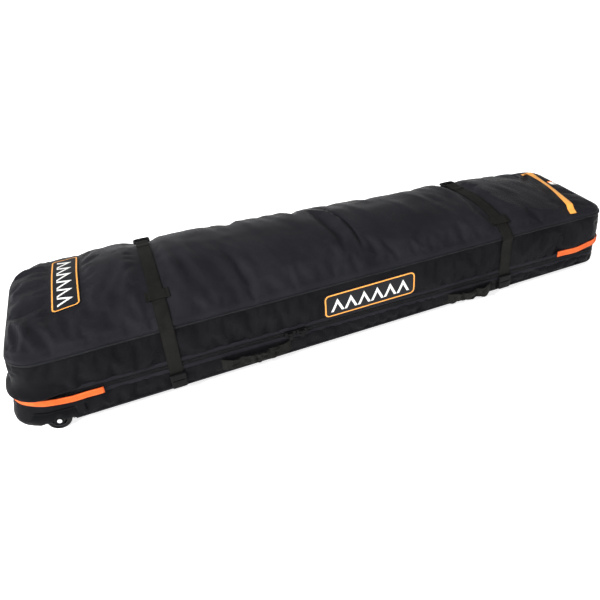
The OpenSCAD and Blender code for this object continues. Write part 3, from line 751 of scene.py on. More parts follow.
# %% How far a wall stands out
def wall_stand(x, y, s, up_share, upper):
    """Bulge + (upright folds + leaning folds + lumps) + puckers, in metres outwards from the outline.

    The bulge is a sine of the share of the height, and uneven values along the way round make the
    rest. All of it fades at the straps, behind the handles, at the badge and over the wheels."""
    middle = np.sin(np.pi * up_share) ** 0.8
    front = y < 0
    wheel = smooth_step(-0.66, -0.84, x)
    far = smooth_step(0.70, 0.84, x)
    bulge = (0.0042 - 0.0010 * wheel - 0.0010 * far) * middle
    if upper:
        near_corner = smooth_step(-0.67, -0.79, x) * (0.35 + 0.65 * front)
        bulge = bulge + 0.0190 * near_corner * bell(up_share - 0.11, 0.13) * smooth_step(0, 0.05, up_share)
    else:
        bulge = bulge + 0.0060 * smooth_step(-0.78, -0.83, x) * bell(up_share - 0.25, 0.3)
    creased = 0.45 + 1.3 * bell(x + 0.18, 0.13) + 0.8 * bell(x - 0.42, 0.06) + 0.9 * bell(x - 0.70, 0.06)
    creased = creased + 0.7 * bell(x + 0.58, 0.06)
    way_round = s / around["length"]
    upright = uneven(way_round * 190, up_share * 1.3, 21 + upper, 190) * 0.0027 * creased
    leaning = uneven(way_round * 120 + up_share * 1.6, up_share * 1.1, 31 + upper, 120) * 0.0021
    lumps = uneven(way_round * 26, up_share * 1.5, 41 + upper, 26) * 0.0020
    pucker = -0.0022 * np.maximum(0, uneven(way_round * 260, 0.5, 51 + upper, 260))
    pucker = pucker * bell(up_share - 0.93, 0.07)
    pulled = quiet = 1 - strap_pull(x)
    if upper:
        on_badge = bell(np.maximum(np.abs(x - side_badge_x) - 0.125, 0), 0.03) * front
        quiet = quiet * (1 - 0.85 * on_badge)
    else:
        for middle_x, half in handle_walls:
            quiet = quiet * (1 - 0.9 * front * bell(np.maximum(np.abs(x - middle_x) - half, 0), 0.02))
        quiet = quiet * (1 - 0.9 * bell(np.maximum(np.abs(x - wheel_axle[0]) - 0.02, 0), 0.02))
    folds = (upright + leaning + lumps) * middle * quiet
    return bulge * (0.25 + 0.75 * pulled) + folds + pucker * pulled


def wall_grid(low, high, rows, upper):
    """Points of a wall: outline + normal * stand, at heights between low(x) and high(x)."""
    share_up = np.linspace(0, 1, rows)[None]
    x, y, nx, ny, s = (around[k][:, None] for k in ("x", "y", "nx", "ny", "s"))
    stand = wall_stand(x, y, s, share_up, upper)
    z = low(x) + (high(x) - low(x)) * share_up
    return wheel_end_shape(np.stack([x + nx * stand, y + ny * stand, z], -1))


def wall_piece(name, points, upper, cap):
    """Make the ring, let its cloth settle between the held edges, and return it."""
    # The ring wears the darker copy of the cloth: painted shade on the walls.
    piece = new_piece(name, points, grid_faces(*points.shape[:2], wrap_rows=True), [shaded_wall_cloth, lining])
    rows = points.shape[1]
    up_share = np.broadcast_to(np.linspace(0, 1, rows), points.shape[:2])
    x, y = points[..., 0], points[..., 1]
    free = 1 - np.minimum(1, strap_pull(x) * 1.2)
    if upper:
        free = free * (1 - bell(np.maximum(np.abs(x - side_badge_x) - 0.135, 0), 0.02) * (y < 0))
    else:
        for middle_x, half in handle_walls:
            free = free * (1 - bell(np.maximum(np.abs(x - middle_x) - half - 0.005, 0), 0.02) * (y < 0))
        free = free * (1 - bell(np.maximum(np.abs(x - wheel_axle[0]) - 0.03, 0), 0.02))
    mask = free * smooth_step(0, 0.12, up_share) * smooth_step(0, 0.12, 1 - up_share)
    held = (up_share <= 0) | (up_share >= 1) | (free < 0.02)
    settle(piece, held.ravel(), mask.ravel(), 0.03, 1.0, cap, 3.0)
    return piece


# %% The lid's wall
hem = 0.0085
upper_points = wall_grid(lambda x: zip_height(x) + hem, seam_height, 25, True)
upper = wall_piece("upper_side_wall", upper_points, True, 0.006)
pad_out(upper, 0.0055, "lid", "padded_cloth", "upper_wall")


# %% The tub's wall, notched over the wheel hubs
def wall_foot(x):
    """The bottom seam, lifted over each wheel hub by a half circle."""
    over_hub = np.sqrt(np.maximum(0.0135**2 - (x - wheel_axle[0]) ** 2, 0))
    near = smooth_step(0.040, 0.034, np.abs(x - wheel_axle[0]))
    return np.maximum(seam_low + 0.003 * near, near * (wheel_axle[2] + over_hub))


lower_points = wall_grid(wall_foot, lambda x: zip_height(x) - hem, 15, False)
lower = wall_piece("lower_side_wall", lower_points, False, 0.004)
pad_out(lower, 0.0055, "tub", "padded_cloth", "lower_wall")
print("walls:", len(upper.data.vertices), "and", len(lower.data.vertices), "points")

# %% [markdown]
# ## The base
# The base is a thin padded cushion that turns up to the bottom seam. It is flat where it stands, and
# it is open over each wheel. Its height falls with the distance in from the outline.


# %% Base cushion
def base_height(x, y):
    """Height falls with the distance from the outline, and is flat on the floor from 46 mm in.

    The foot of the wheel end is fuller, so it falls faster there. An S-curve joins the two."""
    inside = edge_distance(x, y)
    steps = [0, 0.004, 0.014, 0.026, 0.046]
    usual = np.interp(inside, steps, [seam_low, 0.0246, 0.0182, 0.0110, 0.0004])
    full = np.interp(inside, steps, [seam_low, 0.0180, 0.0060, 0.0020, 0.0004])
    height = usual + (full - usual) * smooth_step(-0.79, -0.82, x)
    lumps = 0.0008 * uneven(x / 0.08, y / 0.05, 12)
    return height + lumps * smooth_step(0, 0.02, inside) * smooth_step(0.05, 0.03, inside)


base_points = wheel_end_shape(sheet_grid(base_height))
base_cells = grid_faces(*base_points.shape[:2])[:, ::-1]
cell_middle = base_points.reshape(-1, 3)[base_cells].mean(1)
over_wheel = (np.abs(cell_middle[:, 0] - wheel_axle[0]) < 0.036) & (np.abs(cell_middle[:, 1]) > 0.210)
base = new_piece("base_cushion", base_points, base_cells[~over_wheel], [coated, lining])
pad_out(base, 0.0030, "tub", "coated_cloth", "base_panel", fill=0.4)


# %% Padded floor inside
def floor_pad_grid(rows=180, columns=50):
    """A thin quilted mat: its height is a row of soft waves that sink along the stitched lines."""
    x = np.linspace(-0.700, half_length - 0.014, rows)[:, None] + np.zeros((1, columns))
    y = np.linspace(-1, 1, columns)[None] * (np.minimum(edge(x), half_width(x)) - 0.014)
    quilt = np.abs(np.sin(np.pi * x / 0.12)) ** 0.35 * np.abs(np.sin(np.pi * (y / 0.1 + 0.5))) ** 0.35
    rim = smooth_step(0, 0.012, half_width(x) - 0.014 - np.abs(y))
    return np.stack([x, y, 0.0365 + 0.0045 * (0.35 + 0.65 * quilt) * (0.4 + 0.6 * rim)], -1)


mat_points = floor_pad_grid()
mat = new_piece("floor_mat", mat_points, grid_faces(*mat_points.shape[:2]), [lining, lining])
pad_out(mat, 0.0008, "tub", "padded_cloth", fill=0.3)

# %% [markdown]
# ## Piping and seams
# A cord wrapped in cloth is sewn into the top and bottom seams. It is a round profile carried round the
# outline.


# %% Piping
def seam_path(height, out):
    """The outline moved outwards, at a height that may depend on x."""
    x, y, nx, ny = (around[k] for k in ("x", "y", "nx", "ny"))
    return wheel_end_shape(np.stack([x + nx * out, y + ny * out, height(x)], -1))


normals = np.stack([around["nx"], around["ny"], 0 * around["nx"]], -1)
upright = np.tile(straight_up, (len(normals), 1))
wavy = 0.0006 * uneven(around["s"] / around["length"] * 150, 0.5, 61, 150)
# The top cord's lighter finish paints the light line along the seam.
top_cord = sweep("top_piping_cord", seam_path(seam_height, 0.0008) + wavy[:, None] * upright, upright,
                 normals, round_profile(0.0025, 12), piping_black, closed=True)
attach(top_cord, "lid"), top_cord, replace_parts(top_cord, "top_piping")


def split_at_wheels(path):
    """The two runs of a ring that leave the wheels free, as index arrays, front to front."""
    near = np.abs(path[:, 0] - wheel_axle[0]) < 0.037
    first = np.flatnonzero(near & (path[:, 1] > 0))[-1] + 1
    last = np.flatnonzero(near & (path[:, 1] < 0))[0]
    start = np.flatnonzero(near & (path[:, 1] < 0))[-1] + 1
    stop = np.flatnonzero(near & (path[:, 1] > 0))[0] + len(path)
    return [np.arange(first, last), np.arange(start, stop) % len(path)]


low_path = seam_path(lambda x: seam_low + 0 * x, 0.0004)
for label, run in zip(("wheel_end", "main"), split_at_wheels(low_path)):
    piece = sweep("bottom_piping_" + label, low_path[run], upright[run], normals[run],
                  round_profile(0.0026, 10), piping_black)
    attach(piece, "tub"), piece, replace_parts(piece, "bottom_piping")


# %% Stitches beside a seam
def stitches(name, path, out, body, finish=None, pitch=0.0050, size=(0.0034, 0.0009, 0.0008)):
    """Small pegs at an even pitch along a path, with their long side along it."""
    length = path_length(path)
    at = np.arange(pitch, length[-1] - pitch, pitch)
    places, outs = read_path(at, length, path), unit(read_path(at, length, out))
    along = unit(read_path(at + 0.001, length, path) - places)
    piece = scatter(name, along, np.cross(outs, along), outs, places, size, finish or thread)
    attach(piece, body), piece


# %% [markdown]
# ## The zip
# The zip runs round the front and both ends. Two woven tapes carry rows of small nylon loops, and a
# folded, stitched hem of bag cloth borders each tape. Tapes and hems are bands carried along the
# outline, and the loops are small pegs laid side by side.

# %% Tapes, hems and teeth
back_side = around["y"] > 0.1
zip_run = np.flatnonzero(~(back_side & (around["x"] > -0.745) & (around["x"] < 0.765)))
tilt = unit(np.stack([-around["ny"], around["nx"], zip_slope * around["ny"]], -1))
rise = unit(np.cross(normals, tilt))
rise = rise * np.sign(rise[:, 2:3])


def zip_path(offset, out):
    """A line on the wall, above or below the zip by an offset."""
    return seam_path(lambda x: zip_height(x) + offset, out)[zip_run]


for body, sign, end in (("tub", -1, "lower"), ("lid", 1, "upper")):
    tape = sweep("zip_tape_" + end + "_woven", zip_path(sign * 0.0058, 0.0002), rise[zip_run],
                 normals[zip_run], band_profile(0.0104, 0.0011), tape_black)
    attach(tape, body), tape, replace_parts(tape, "zip_tape_" + end)
    hem_path = zip_path(sign * 0.0125, -0.0006)
    swell = 0.0004 * uneven(around["s"][zip_run] / 0.03, 0.5, 70 + sign)
    # Each hem takes the top's lighter cloth, not the walls' darker copy, so it reads as a light line along
    # the zip: painted highlight.
    hem_band = sweep("zip_hem_" + end, hem_path + swell[:, None] * normals[zip_run], rise[zip_run],
                     normals[zip_run], band_profile(0.0115, 0.0030, crown_part=0.5), cloth)
    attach(hem_band, body), hem_band
    for label, offset in (("zip_stitch_", 0.0098), ("zip_stitch_outer_", 0.0152)):
        stitches(label + end, zip_path(sign * offset, 0.0025), normals[zip_run], body)
    tooth_path = zip_path(sign * 0.0014, 0.0016)
    reach = path_length(tooth_path)
    at = np.arange(0.002 if sign > 0 else 0.0030, reach[-1] - 0.002, 0.0024)
    places, outs, rises = (read_path(at, reach, a) for a in (tooth_path, normals[zip_run], rise[zip_run]))
    teeth = scatter("zip_teeth_" + end, unit(rises), unit(np.cross(rises, outs)), unit(outs), places,
                    (0.0052, 0.0015, 0.0024), coil_finish)
    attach(teeth, body), teeth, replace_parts(teeth, "zip_coil_" + end)
print("zip: length", round(float(reach[-1]), 3), "m,", len(at), "loops a side")

# %% [markdown]
# ## The hinge at the back
# Behind the bag, the two walls are joined by a strip of cloth. It is one band along the back.

# %% Hinge strip
hinge_run = np.flatnonzero(back_side & (around["x"] > -0.740) & (around["x"] < 0.760))
hinge_run = hinge_run[np.argsort(around["x"][hinge_run])]
strip_path = seam_path(lambda x: zip_height(x), -0.0004)[hinge_run]
strip_profile = np.array([
    [-0.021, 0.0], [-0.019, 0.0016], [-0.012, 0.0020], [-0.006, 0.0020], [-0.002, 0.0024], [0.0, 0.0026],
    [0.002, 0.0024], [0.006, 0.0020], [0.012, 0.0020], [0.019, 0.0016], [0.021, 0.0],
    [0.012, -0.0005], [0.0, -0.0005], [-0.012, -0.0005]])
strip = sweep("hinge_strip", strip_path, rise[hinge_run], normals[hinge_run], strip_profile, tape_black)
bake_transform(strip)
strip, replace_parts(strip, "hinge_tape")

# %% [markdown]
# ## Compression straps
# Each strap is one length of webbing. It is sewn in at the foot of the back wall, runs up it, over the top
# and down to its clip at the front. Its path follows the cloth, eased at the seams.


# %% Strap paths
def strap_section(x):
    """(y, z) down the strap, from the back's foot over the top to the front clip."""
    side = half_width(x)
    back = [(side + 0.0016, z) for z in np.linspace(0.018, seam_height(x) - 0.012, 40)]
    across = np.linspace(side - 0.010, -side + 0.010, 130)
    top = np.stack([across, cover_height(np.full(130, x), across) + 0.0016], -1)
    front = [(-side - 0.0022, z) for z in np.linspace(seam_height(x) - 0.012, 0.064, 36)]
    corners = [(side + 0.0072, seam_height(x) + 0.002)], [(-side - 0.0076, seam_height(x) + 0.002)]
    return np.concatenate([back, corners[0], top, corners[1], front])


def strap_lines(x, count=260):
    """Centre line, cross direction and outward direction of a strap."""
    line = resample(strap_section(x), count, soften=6)
    centre = np.stack([np.full(count, x), line[:, 0], line[:, 1]], -1)
    ahead_of = unit(np.gradient(centre, axis=0))
    sideways = np.tile([1.0, 0.0, 0.0], (count, 1))
    slant = np.clip(-np.sign(centre[:, 1]) * smooth_step(0.10, 0.20, np.abs(centre[:, 1])) * taper, -1, 1)
    sideways[:, 1] = slant
    sideways = unit(sideways)
    return centre, sideways, unit(np.cross(ahead_of, sideways))


for label, x in strap_at.items():
    centre, sideways, out = strap_lines(x)
    strap = sweep("strap_" + label + "_webbing", centre, sideways, out,
                  band_profile(strap_width, web), web_black)
    at_hinge = np.array([x, half_width(x) + hinge_gap, zip_height(x)])
    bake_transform(strap)
    strap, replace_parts(strap, "strap_" + label, "rear_straps_lower")
print("the far end's strap is about", round(float(path_length(centre)[-1]), 3), "m long")


# %% Keepers: short cross patches that hold each strap on the top
def on_cover(x, y, lift):
    """Points above the top cloth."""
    x, y = np.broadcast_arrays(x, y)
    return np.stack([x, y, cover_height(x, y) + lift], -1)


keeper_share = {"wheel_end": -0.66, "far_end": -0.77}
for label, x in strap_at.items():
    middle_y = keeper_share[label] * half_width(x)
    run = np.linspace(-0.030, 0.030, 31)
    hump = 0.0026 * (smooth_step(-0.025, -0.0185, run) - smooth_step(0.0185, 0.025, run))
    centre = on_cover(x, np.full(31, middle_y), 0.0016) + np.stack([run, 0 * run, hump], -1)
    centre[:, 2] = np.maximum(centre[:, 2], cover_height(centre[:, 0], centre[:, 1]) + 0.0012)
    ahead_of = unit(np.gradient(centre, axis=0))
    slope = (cover_height(x, middle_y + 0.01) - cover_height(x, middle_y - 0.01)) / 0.02
    sideways = np.tile(unit([0.0, 1.0, float(slope)]), (31, 1))
    keeper = sweep("keeper_" + label, centre, sideways, unit(np.cross(ahead_of, sideways)),
                   band_profile(0.032, 0.0015), web_black)
    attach(keeper, "lid"), keeper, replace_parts(keeper, "strap_keepers")

# %% [markdown]
# ## Ladder-lock adjusters
# Each strap is tightened by a moulded ladder-lock on the top near the back: a rounded frame with three
# bars. The frame is a round profile carried round a rounded rectangle, and the bars are short rods.


# %% Moulded adjusters
def rounded_loop(half_a, half_b, radius, count=64):
    """A closed rounded rectangle as (a, b) points."""
    turn = np.linspace(0, 2 * np.pi, count, endpoint=False)
    a = np.clip(1.6 * np.cos(turn), -1, 1) * (half_a - radius) + radius * np.cos(turn)
    b = np.clip(1.6 * np.sin(turn), -1, 1) * (half_b - radius) + radius * np.sin(turn)
    return np.stack([a, b], -1)


def joined(name, parts):
    """One mesh from several."""
    bpy.ops.object.select_all(action="DESELECT")
    for part in parts:
        part.select_set(True)
    bpy.context.view_layer.objects.active = parts[0]
    bpy.ops.object.join()
    parts[0].name = parts[0].data.name = name
    return parts[0]


def tube_round(name, points, flat_normal, radius_a, radius_b, finish, closed=True):
    """An oval profile carried round a flat loop, or along a flat line."""
    step = np.roll(points, -1, 0) - np.roll(points, 1, 0) if closed else np.gradient(points, axis=0)
    ahead_of = unit(step)
    out = np.tile(flat_normal, (len(points), 1))
    profile = round_profile(1.0, 12) * (radius_a, radius_b)
    return sweep(name, points, unit(np.cross(out, ahead_of)), out, profile, finish, closed=closed)


def adjuster(label, x):
    """Frame and bars on the strap, tilted with the slope of the cloth, and the strap's loose tail."""
    y = 0.70 * half_width(x)
    slope = float((cover_height(x, y + 0.012) - cover_height(x, y - 0.012)) / 0.024)
    across, down = np.array([1.0, 0, 0]), unit([0.0, 1.0, slope + 0.22])
    out = np.cross(across, down)
    middle = np.array([x, y, float(cover_height(x, y)) + 0.0098])
    loop = rounded_loop(0.0212, 0.0165, 0.006)
    loop_points = middle + loop[:, :1] * across + loop[:, 1:] * down
    parts = [tube_round("part", loop_points, out, 0.0026, 0.0029, plastic)]
    for where, lift, thick in ((-0.015, 0.0016, 0.0027), (0.0, 0.0022, 0.0028), (0.015, 0.0008, 0.0026)):
        run = np.linspace(-0.020, 0.020, 9)[:, None]
        line = middle + run * across + where * down + (lift * (1 - (run / 0.024) ** 2)) * out
        parts.append(tube_round("part", line, out, thick, thick * 0.85, plastic, closed=False))
    piece = joined("adjuster_" + label, parts)
    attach(piece, "lid"), piece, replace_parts(piece, "strap_adjuster_" + label)
    tail = np.linspace(0, 1, 24)
    run_y = y + 0.012 - 0.075 * tail
    lift = 0.0045 + 0.0075 * np.sin(np.pi * np.minimum(1, tail * 1.4)) * (1 - tail) + 0.001
    centre = on_cover(np.full(24, x), run_y, lift)
    ahead_of = unit(np.gradient(centre, axis=0))
    sideways = np.tile(across, (24, 1))
    flap = sweep("strap_tail_" + label, centre, sideways, unit(np.cross(sideways, ahead_of)),
                 band_profile(strap_width - 0.001, web), web_black)
    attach(flap, "lid"), flap


for label, x in strap_at.items():
    adjuster(label, x)

# %% [markdown]
# ## Clips at the front
# Each strap ends in a side-release clip just above the bottom seam. The two halves are moulded, with
# rounded edges, so each is a rounded block: a sphere's angles raised to a small power.


# %% Rounded blocks
def block(name, middle, axes, size, finish, square=0.22, rings=22, around_count=32):
    """A ball squared off: every cosine and sine keeps its sign and is raised to a small power."""

    def power(value):
        return np.sign(value) * np.abs(value) ** square

    a = np.linspace(-np.pi / 2, np.pi / 2, rings)[:, None]
    b = np.linspace(0, 2 * np.pi, around_count, endpoint=False)[None]
    local = np.stack([power(np.cos(a)) * power(np.cos(b)), power(np.cos(a)) * power(np.sin(b)),
                      power(np.sin(a)) + 0 * b], -1) * np.array(size) / 2
    points = np.array(middle) + local @ np.array(axes)
    return outward(new_piece(name, points, grid_faces(rings, around_count, wrap_columns=True), finish))


front_along = unit(np.array([1.0, taper, 0.0]))
front_out = unit(np.array([taper, -1.0, 0.0]))
front_axes = [front_along, front_out, straight_up]
front_foot = np.array([0.0, -mid_half_width, 0.0])


def front_point(x, z, off):
    """A point off the front wall."""
    return np.array([x, -half_width(x), z]) + off * front_out


for label, x in strap_at.items():
    socket = joined("socket_" + label, [
        block("part", front_point(x, 0.0405, 0.0078), front_axes, (0.038, 0.0092, 0.0215), plastic),
        block("part", front_point(x, 0.0345, 0.0078), front_axes, (0.030, 0.0100, 0.0060), plastic, 0.4),
        block("part", front_point(x, 0.0405, 0.0118), front_axes, (0.016, 0.0026, 0.0110), plastic, 0.3)])
    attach(socket, "tub"), socket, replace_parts(socket, "buckle_socket_" + label)
    prongs = [block("part", front_point(x, 0.0478, 0.0080) + s * 0.0165 * front_along, front_axes,
                    (0.0042, 0.0062, 0.0160), plastic, 0.35) for s in (-1, 1)]
    clip = joined("clip_" + label, [
        block("part", front_point(x, 0.0620, 0.0086), front_axes, (0.039, 0.0070, 0.0180), plastic),
        block("part", front_point(x, 0.0668, 0.0110), front_axes, (0.036, 0.0036, 0.0050), plastic, 0.4),
        *prongs])
    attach(clip, "lid"), clip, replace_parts(clip, "buckle_clip_" + label)
    tab_line = np.stack([front_point(x, z, 0.0006 + 0.0016 * smooth_step(0.028, 0.04, z))
                         for z in np.linspace(0.028, 0.056, 12)])
    tab = sweep("strap_tab_" + label, tab_line, np.tile(front_along, (12, 1)), np.tile(front_out, (12, 1)),
                band_profile(strap_width, 0.0018), web_black)
    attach(tab, "tub"), tab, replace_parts(tab, "strap_tabs")

# %% [markdown]
# ## Orange end handles
# A strip of orange webbing is sewn round each end, below the zip at the wheels and above it at the far
# end. It is a band along the outline that stands a little off the wall round the corners.


# %% Orange strips
def end_strip(name, first, last, offset, width, body, node, wheel):
    """Band along the outline between two places, which rises towards the corner.

    It stands off by the wall's own stand and a slack that eases in from both ends."""
    start, full, most = (-0.71, -0.82, 0.0115) if wheel else (0.74, 0.83, 0.011)
    path = seam_path(lambda x: zip_height(x) + offset + most * smooth_step(start, full, x), 0.0)
    if wheel:
        run = np.flatnonzero((around["x"] < first) & ((around["y"] < 0) | (around["x"] < last)))
    else:
        order = np.roll(np.arange(len(path)), -np.argmin(np.abs(around["x"]) + (around["y"] > 0)))
        run = order[((around["x"] > first) & ((around["y"] < 0) | (around["x"] > last)))[order]]
    x, y = around["x"][run], around["y"][run]
    share_up = 0.75 if wheel else 0.12
    stand = wall_stand(x, y, around["s"][run], np.full(len(run), share_up), not wheel)
    from_end = np.minimum(np.arange(len(run)), np.arange(len(run))[::-1]) * 0.005
    slack = 0.0042 + 0.0012 * smooth_step(0.03, 0.12, from_end)
    line = path[run] + (stand + slack)[:, None] * normals[run]
    piece = sweep(name, line, rise[run], normals[run], band_profile(width, 0.0018), web_orange)
    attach(piece, body), piece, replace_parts(piece, node)
    for edge_sign in (-1, 1):
        shift = edge_sign * (width / 2 - 0.0022)
        stitches(name + ("_stitch_low" if edge_sign < 0 else "_stitch_high"),
                 line + shift * rise[run] + 0.0019 * normals[run], normals[run], body,
                 thread_orange, 0.0042, (0.0030, 0.0007, 0.0006))


end_strip("orange_strip_wheel_end", -0.638, -0.745, -0.0095, 0.018, "tub", "wheel_end_handle", True)
end_strip("orange_strip_far_end", 0.684, 0.765, 0.017, 0.018, "lid", "far_end_handle", False)

# %% [markdown]
# ## The corner guard
# The wheel end drags on the ground, so a sheet of coated cloth is sewn over its lower wall. It is a
# grid on the wall, a little further out than the wall itself, and Solidify gives it its thickness.

# %% Coated cloth round the wheel end's lower corners
guard_run = np.flatnonzero(around["x"] < -0.690)
guard_share = np.linspace(0, 1, 12)
gx, gy, gnx, gny, gs = (around[k][guard_run][:, None] for k in ("x", "y", "nx", "ny", "s"))
guard_foot = wall_foot(gx)
guard_z = guard_foot + (zip_height(gx) - 0.034 - guard_foot) * guard_share
lower_share = (guard_z - guard_foot) / (zip_height(gx) - hem - guard_foot)
guard_stand = wall_stand(gx, gy, gs, lower_share, False) + 0.0012 + 0.0006 * np.sin(np.pi * guard_share)
guard_points = wheel_end_shape(np.stack([gx + gnx * guard_stand, gy + gny * guard_stand, guard_z], -1))
# The guard's coated cloth is darkened beyond its own colour: painted shade near the floor.
guard = new_piece("corner_guard_cloth", guard_points, grid_faces(*guard_points.shape[:2]), [coated])
thick = guard.modifiers.new("cloth", "SOLIDIFY")
thick.thickness, thick.offset = 0.0012, -1
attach(guard, "tub"), guard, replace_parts(guard, "corner_guard")
stitches("corner_guard_stitch", guard_points[:, -2] + 0.0003 * normals[guard_run], normals[guard_run],
         "tub")

# %% [markdown]
# ## Black carrying handles
# Two slack handles of black webbing are sewn to the front wall below the zip. Each is one band: flat where it
# is sewn, then it lifts off, bows and crumples.


# %% Carrying handles
def carry_handle(label, start, stop, z, seed):
    """Path off the wall: an eased step up to the pivot, and a sine bow that droops a little.

    Uneven values crumple first the path and then every point of the band, out and up."""
    sewn, half_wide = 0.028, 0.0155
    t = np.linspace(start - sewn, stop + sewn, 90)
    inside = np.clip((t - start) / (stop - start), 0, 1)
    lift = 0.0088 * smooth_step(-0.012, 0.004, np.minimum(t - start, stop - t))
    bow = np.sin(np.pi * inside)
    loose = np.minimum(1, 2.2 * bow)
    crumple = 0.0052 * uneven(t / 0.0115, 0.5, seed) * loose
    off = 0.0010 + lift + 0.0050 * bow + np.maximum(crumple, -0.0055)
    sag = z - 0.0040 * bow + 0.0030 * uneven(t / 0.018, 3.5, seed) * loose
    centre = (front_foot + t[:, None] * front_along + off[:, None] * front_out
              + sag[:, None] * straight_up)
    droop = np.radians(16) * bow + 0.62 * uneven(t / 0.016, 7.5, seed) * loose
    ahead_of = unit(np.gradient(centre, axis=0))
    sideways = np.cos(droop)[:, None] * straight_up + np.sin(droop)[:, None] * front_out * 0.6
    sideways = unit(sideways - (sideways * ahead_of).sum(1, keepdims=True) * ahead_of)
    out = unit(np.cross(sideways, ahead_of))
    out = out * np.sign((out * front_out).sum(1, keepdims=True))
    rib = np.linspace(-half_wide, half_wide, 14)
    profile = np.concatenate([np.stack([rib, 0 * rib], -1), np.stack([rib[::-1], 0 * rib + web], -1)])
    piece = sweep("carry_handle_" + label + "_webbing", centre, sideways, out, profile, web_black)
    spots = np.empty(len(piece.data.vertices) * 3)
    piece.data.vertices.foreach_get("co", spots)
    spots = spots.reshape(-1, 3)
    at, high = (spots - front_foot) @ front_along, spots[:, 2]
    free = np.minimum(1, 2.2 * np.sin(np.pi * np.clip((at - start) / (stop - start), 0, 1)))
    spots = spots + (0.0036 * uneven(at / 0.010, high / 0.008, seed + 1) * free)[:, None] * front_out
    spots[:, 2] += 0.0022 * uneven(at / 0.012, high / 0.02, seed + 2) * free
    piece.data.vertices.foreach_set("co", spots.ravel())
    piece.data.update()
    wall_point = front_foot + (start + stop) / 2 * front_along + z * straight_up
    wall_point + 0.0025 * front_out
    wall_point + 0.0085 * front_out
    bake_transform(piece)
    piece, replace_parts(piece, "carry_handle_" + label, "carry_handle_anchors")
    box = rounded_loop(0.011, 0.0125, 0.001, 48)
    cross_line = np.linspace(-1, 1, 16)[:, None] * np.array([[0.0105, 0.0120]])
    for side_name, end_x, way in (("low", start - sewn, 1), ("high", stop + sewn, -1)):
        for part, line in (("box", np.concatenate([box, box[:1]])), ("cross", cross_line)):
            places = (front_foot + (end_x + way * 0.0135 + line[:, :1]) * front_along
                      + (z + line[:, 1:]) * straight_up + 0.0034 * front_out)
            stitches("carry_" + label + "_" + side_name + "_" + part, places,
                     np.tile(front_out, (len(places), 1)), "tub", None, 0.0036,
                     (0.0027, 0.0008, 0.0007))


carry_handle("wheel_end", -0.345, -0.175, 0.054, 81)
carry_handle("far_end", 0.322, 0.446, 0.0445, 87)

# %% [markdown]
# ## The amber grab handle and the label
# The far end has a bright handle across the top. It is sewn at both ends and arches up between them.
# Beside it a small folded label shows from the seam.

# %% Grab handle
sewn_grab, grab_lean = 0.022, 0.0050
way = unit(grab_far - grab_near)
span = np.linalg.norm(grab_far - grab_near)
t = np.linspace(-sewn_grab, span + sewn_grab, 80)
inside = np.clip(t / span, 0, 1)
pivot_height = joint("grab_swing")["pos_m"][2]
plan = grab_near + t[:, None] * way
arch = np.sin(np.pi * inside)
sewn_height = cover_height(plan[:, 0], plan[:, 1]) + 0.0015
lifted = smooth_step(-0.008, 0.008, np.minimum(t, span - t))
height = sewn_height * (1 - lifted) + (pivot_height - 0.001 + 0.0030 * arch) * lifted
outward_way = np.array([way[1], -way[0]])
centre = np.concatenate([plan + (grab_lean * arch)[:, None] * outward_way, height[:, None]], 1)
ahead_of = unit(np.gradient(centre, axis=0))
tip = np.radians(24) * arch
sideways = np.cos(tip)[:, None] * np.append(outward_way, 0) - np.sin(tip)[:, None] * straight_up
sideways = unit(sideways - (sideways * ahead_of).sum(1, keepdims=True) * ahead_of)
out = np.cross(sideways, ahead_of)
out = out * np.sign(out[:, 2:3])
grab_piece = sweep("grab_handle_webbing", centre, sideways, out, band_profile(0.020, 0.0018), web_amber)
pivot_height - 0.009
pivot_height + 0.002
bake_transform(grab_piece)
grab_piece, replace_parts(grab_piece, "grab_handle", "grab_handle_anchors")

# %% Folded label
tag_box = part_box("label_tag")
tag_middle = (np.array(tag_box[0]) + np.array(tag_box[1])) / 2
turn = np.linspace(-np.pi / 2, np.pi / 2, 9)
fold_line = np.concatenate([[[-0.010, -0.0016], [-0.004, -0.0018], [0.003, -0.0018]],
                            np.stack([0.006 + 0.0018 * np.cos(turn), 0.0018 * np.sin(turn)], -1),
                            [[0.003, 0.0019], [-0.004, 0.0014], [-0.010, 0.0004]]])
tag_axis, tag_side, tag_up = unit([0.94, 0.10, -0.20]), unit([-0.10, 1.0, 0.0]), unit([0.2, 0.0, 0.97])
tag_centre = tag_middle + fold_line[:, :1] * tag_axis + fold_line[:, 1:] * tag_up + np.array([0, 0, -0.003])
tag_ahead = unit(np.gradient(tag_centre, axis=0))
label_finish = Finish("label_two_tone")
tag_across, _ = label_finish.along()
label_finish.set(Base_Color=label_finish.blend(tag_across.step(0.0035, 0.0042), (0.80, 0.79, 0.76),
                                               (0.95, 0.26, 0.05)), Roughness=0.6)
tag = sweep("folded_label", tag_centre, np.tile(tag_side, (len(tag_centre), 1)),
            unit(np.cross(tag_ahead, tag_side)), band_profile(0.024, 0.0008), label_finish.material)
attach(tag, "lid"), tag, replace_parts(tag, "label_tag")


# %% [markdown]
# ## Badges
# The two printed patches are black with an amber border. A plain row of mountain peaks stands in
# them. Each patch is a thin sheet on the cloth, and the print is drawn by distances in its own
# flat coordinates.


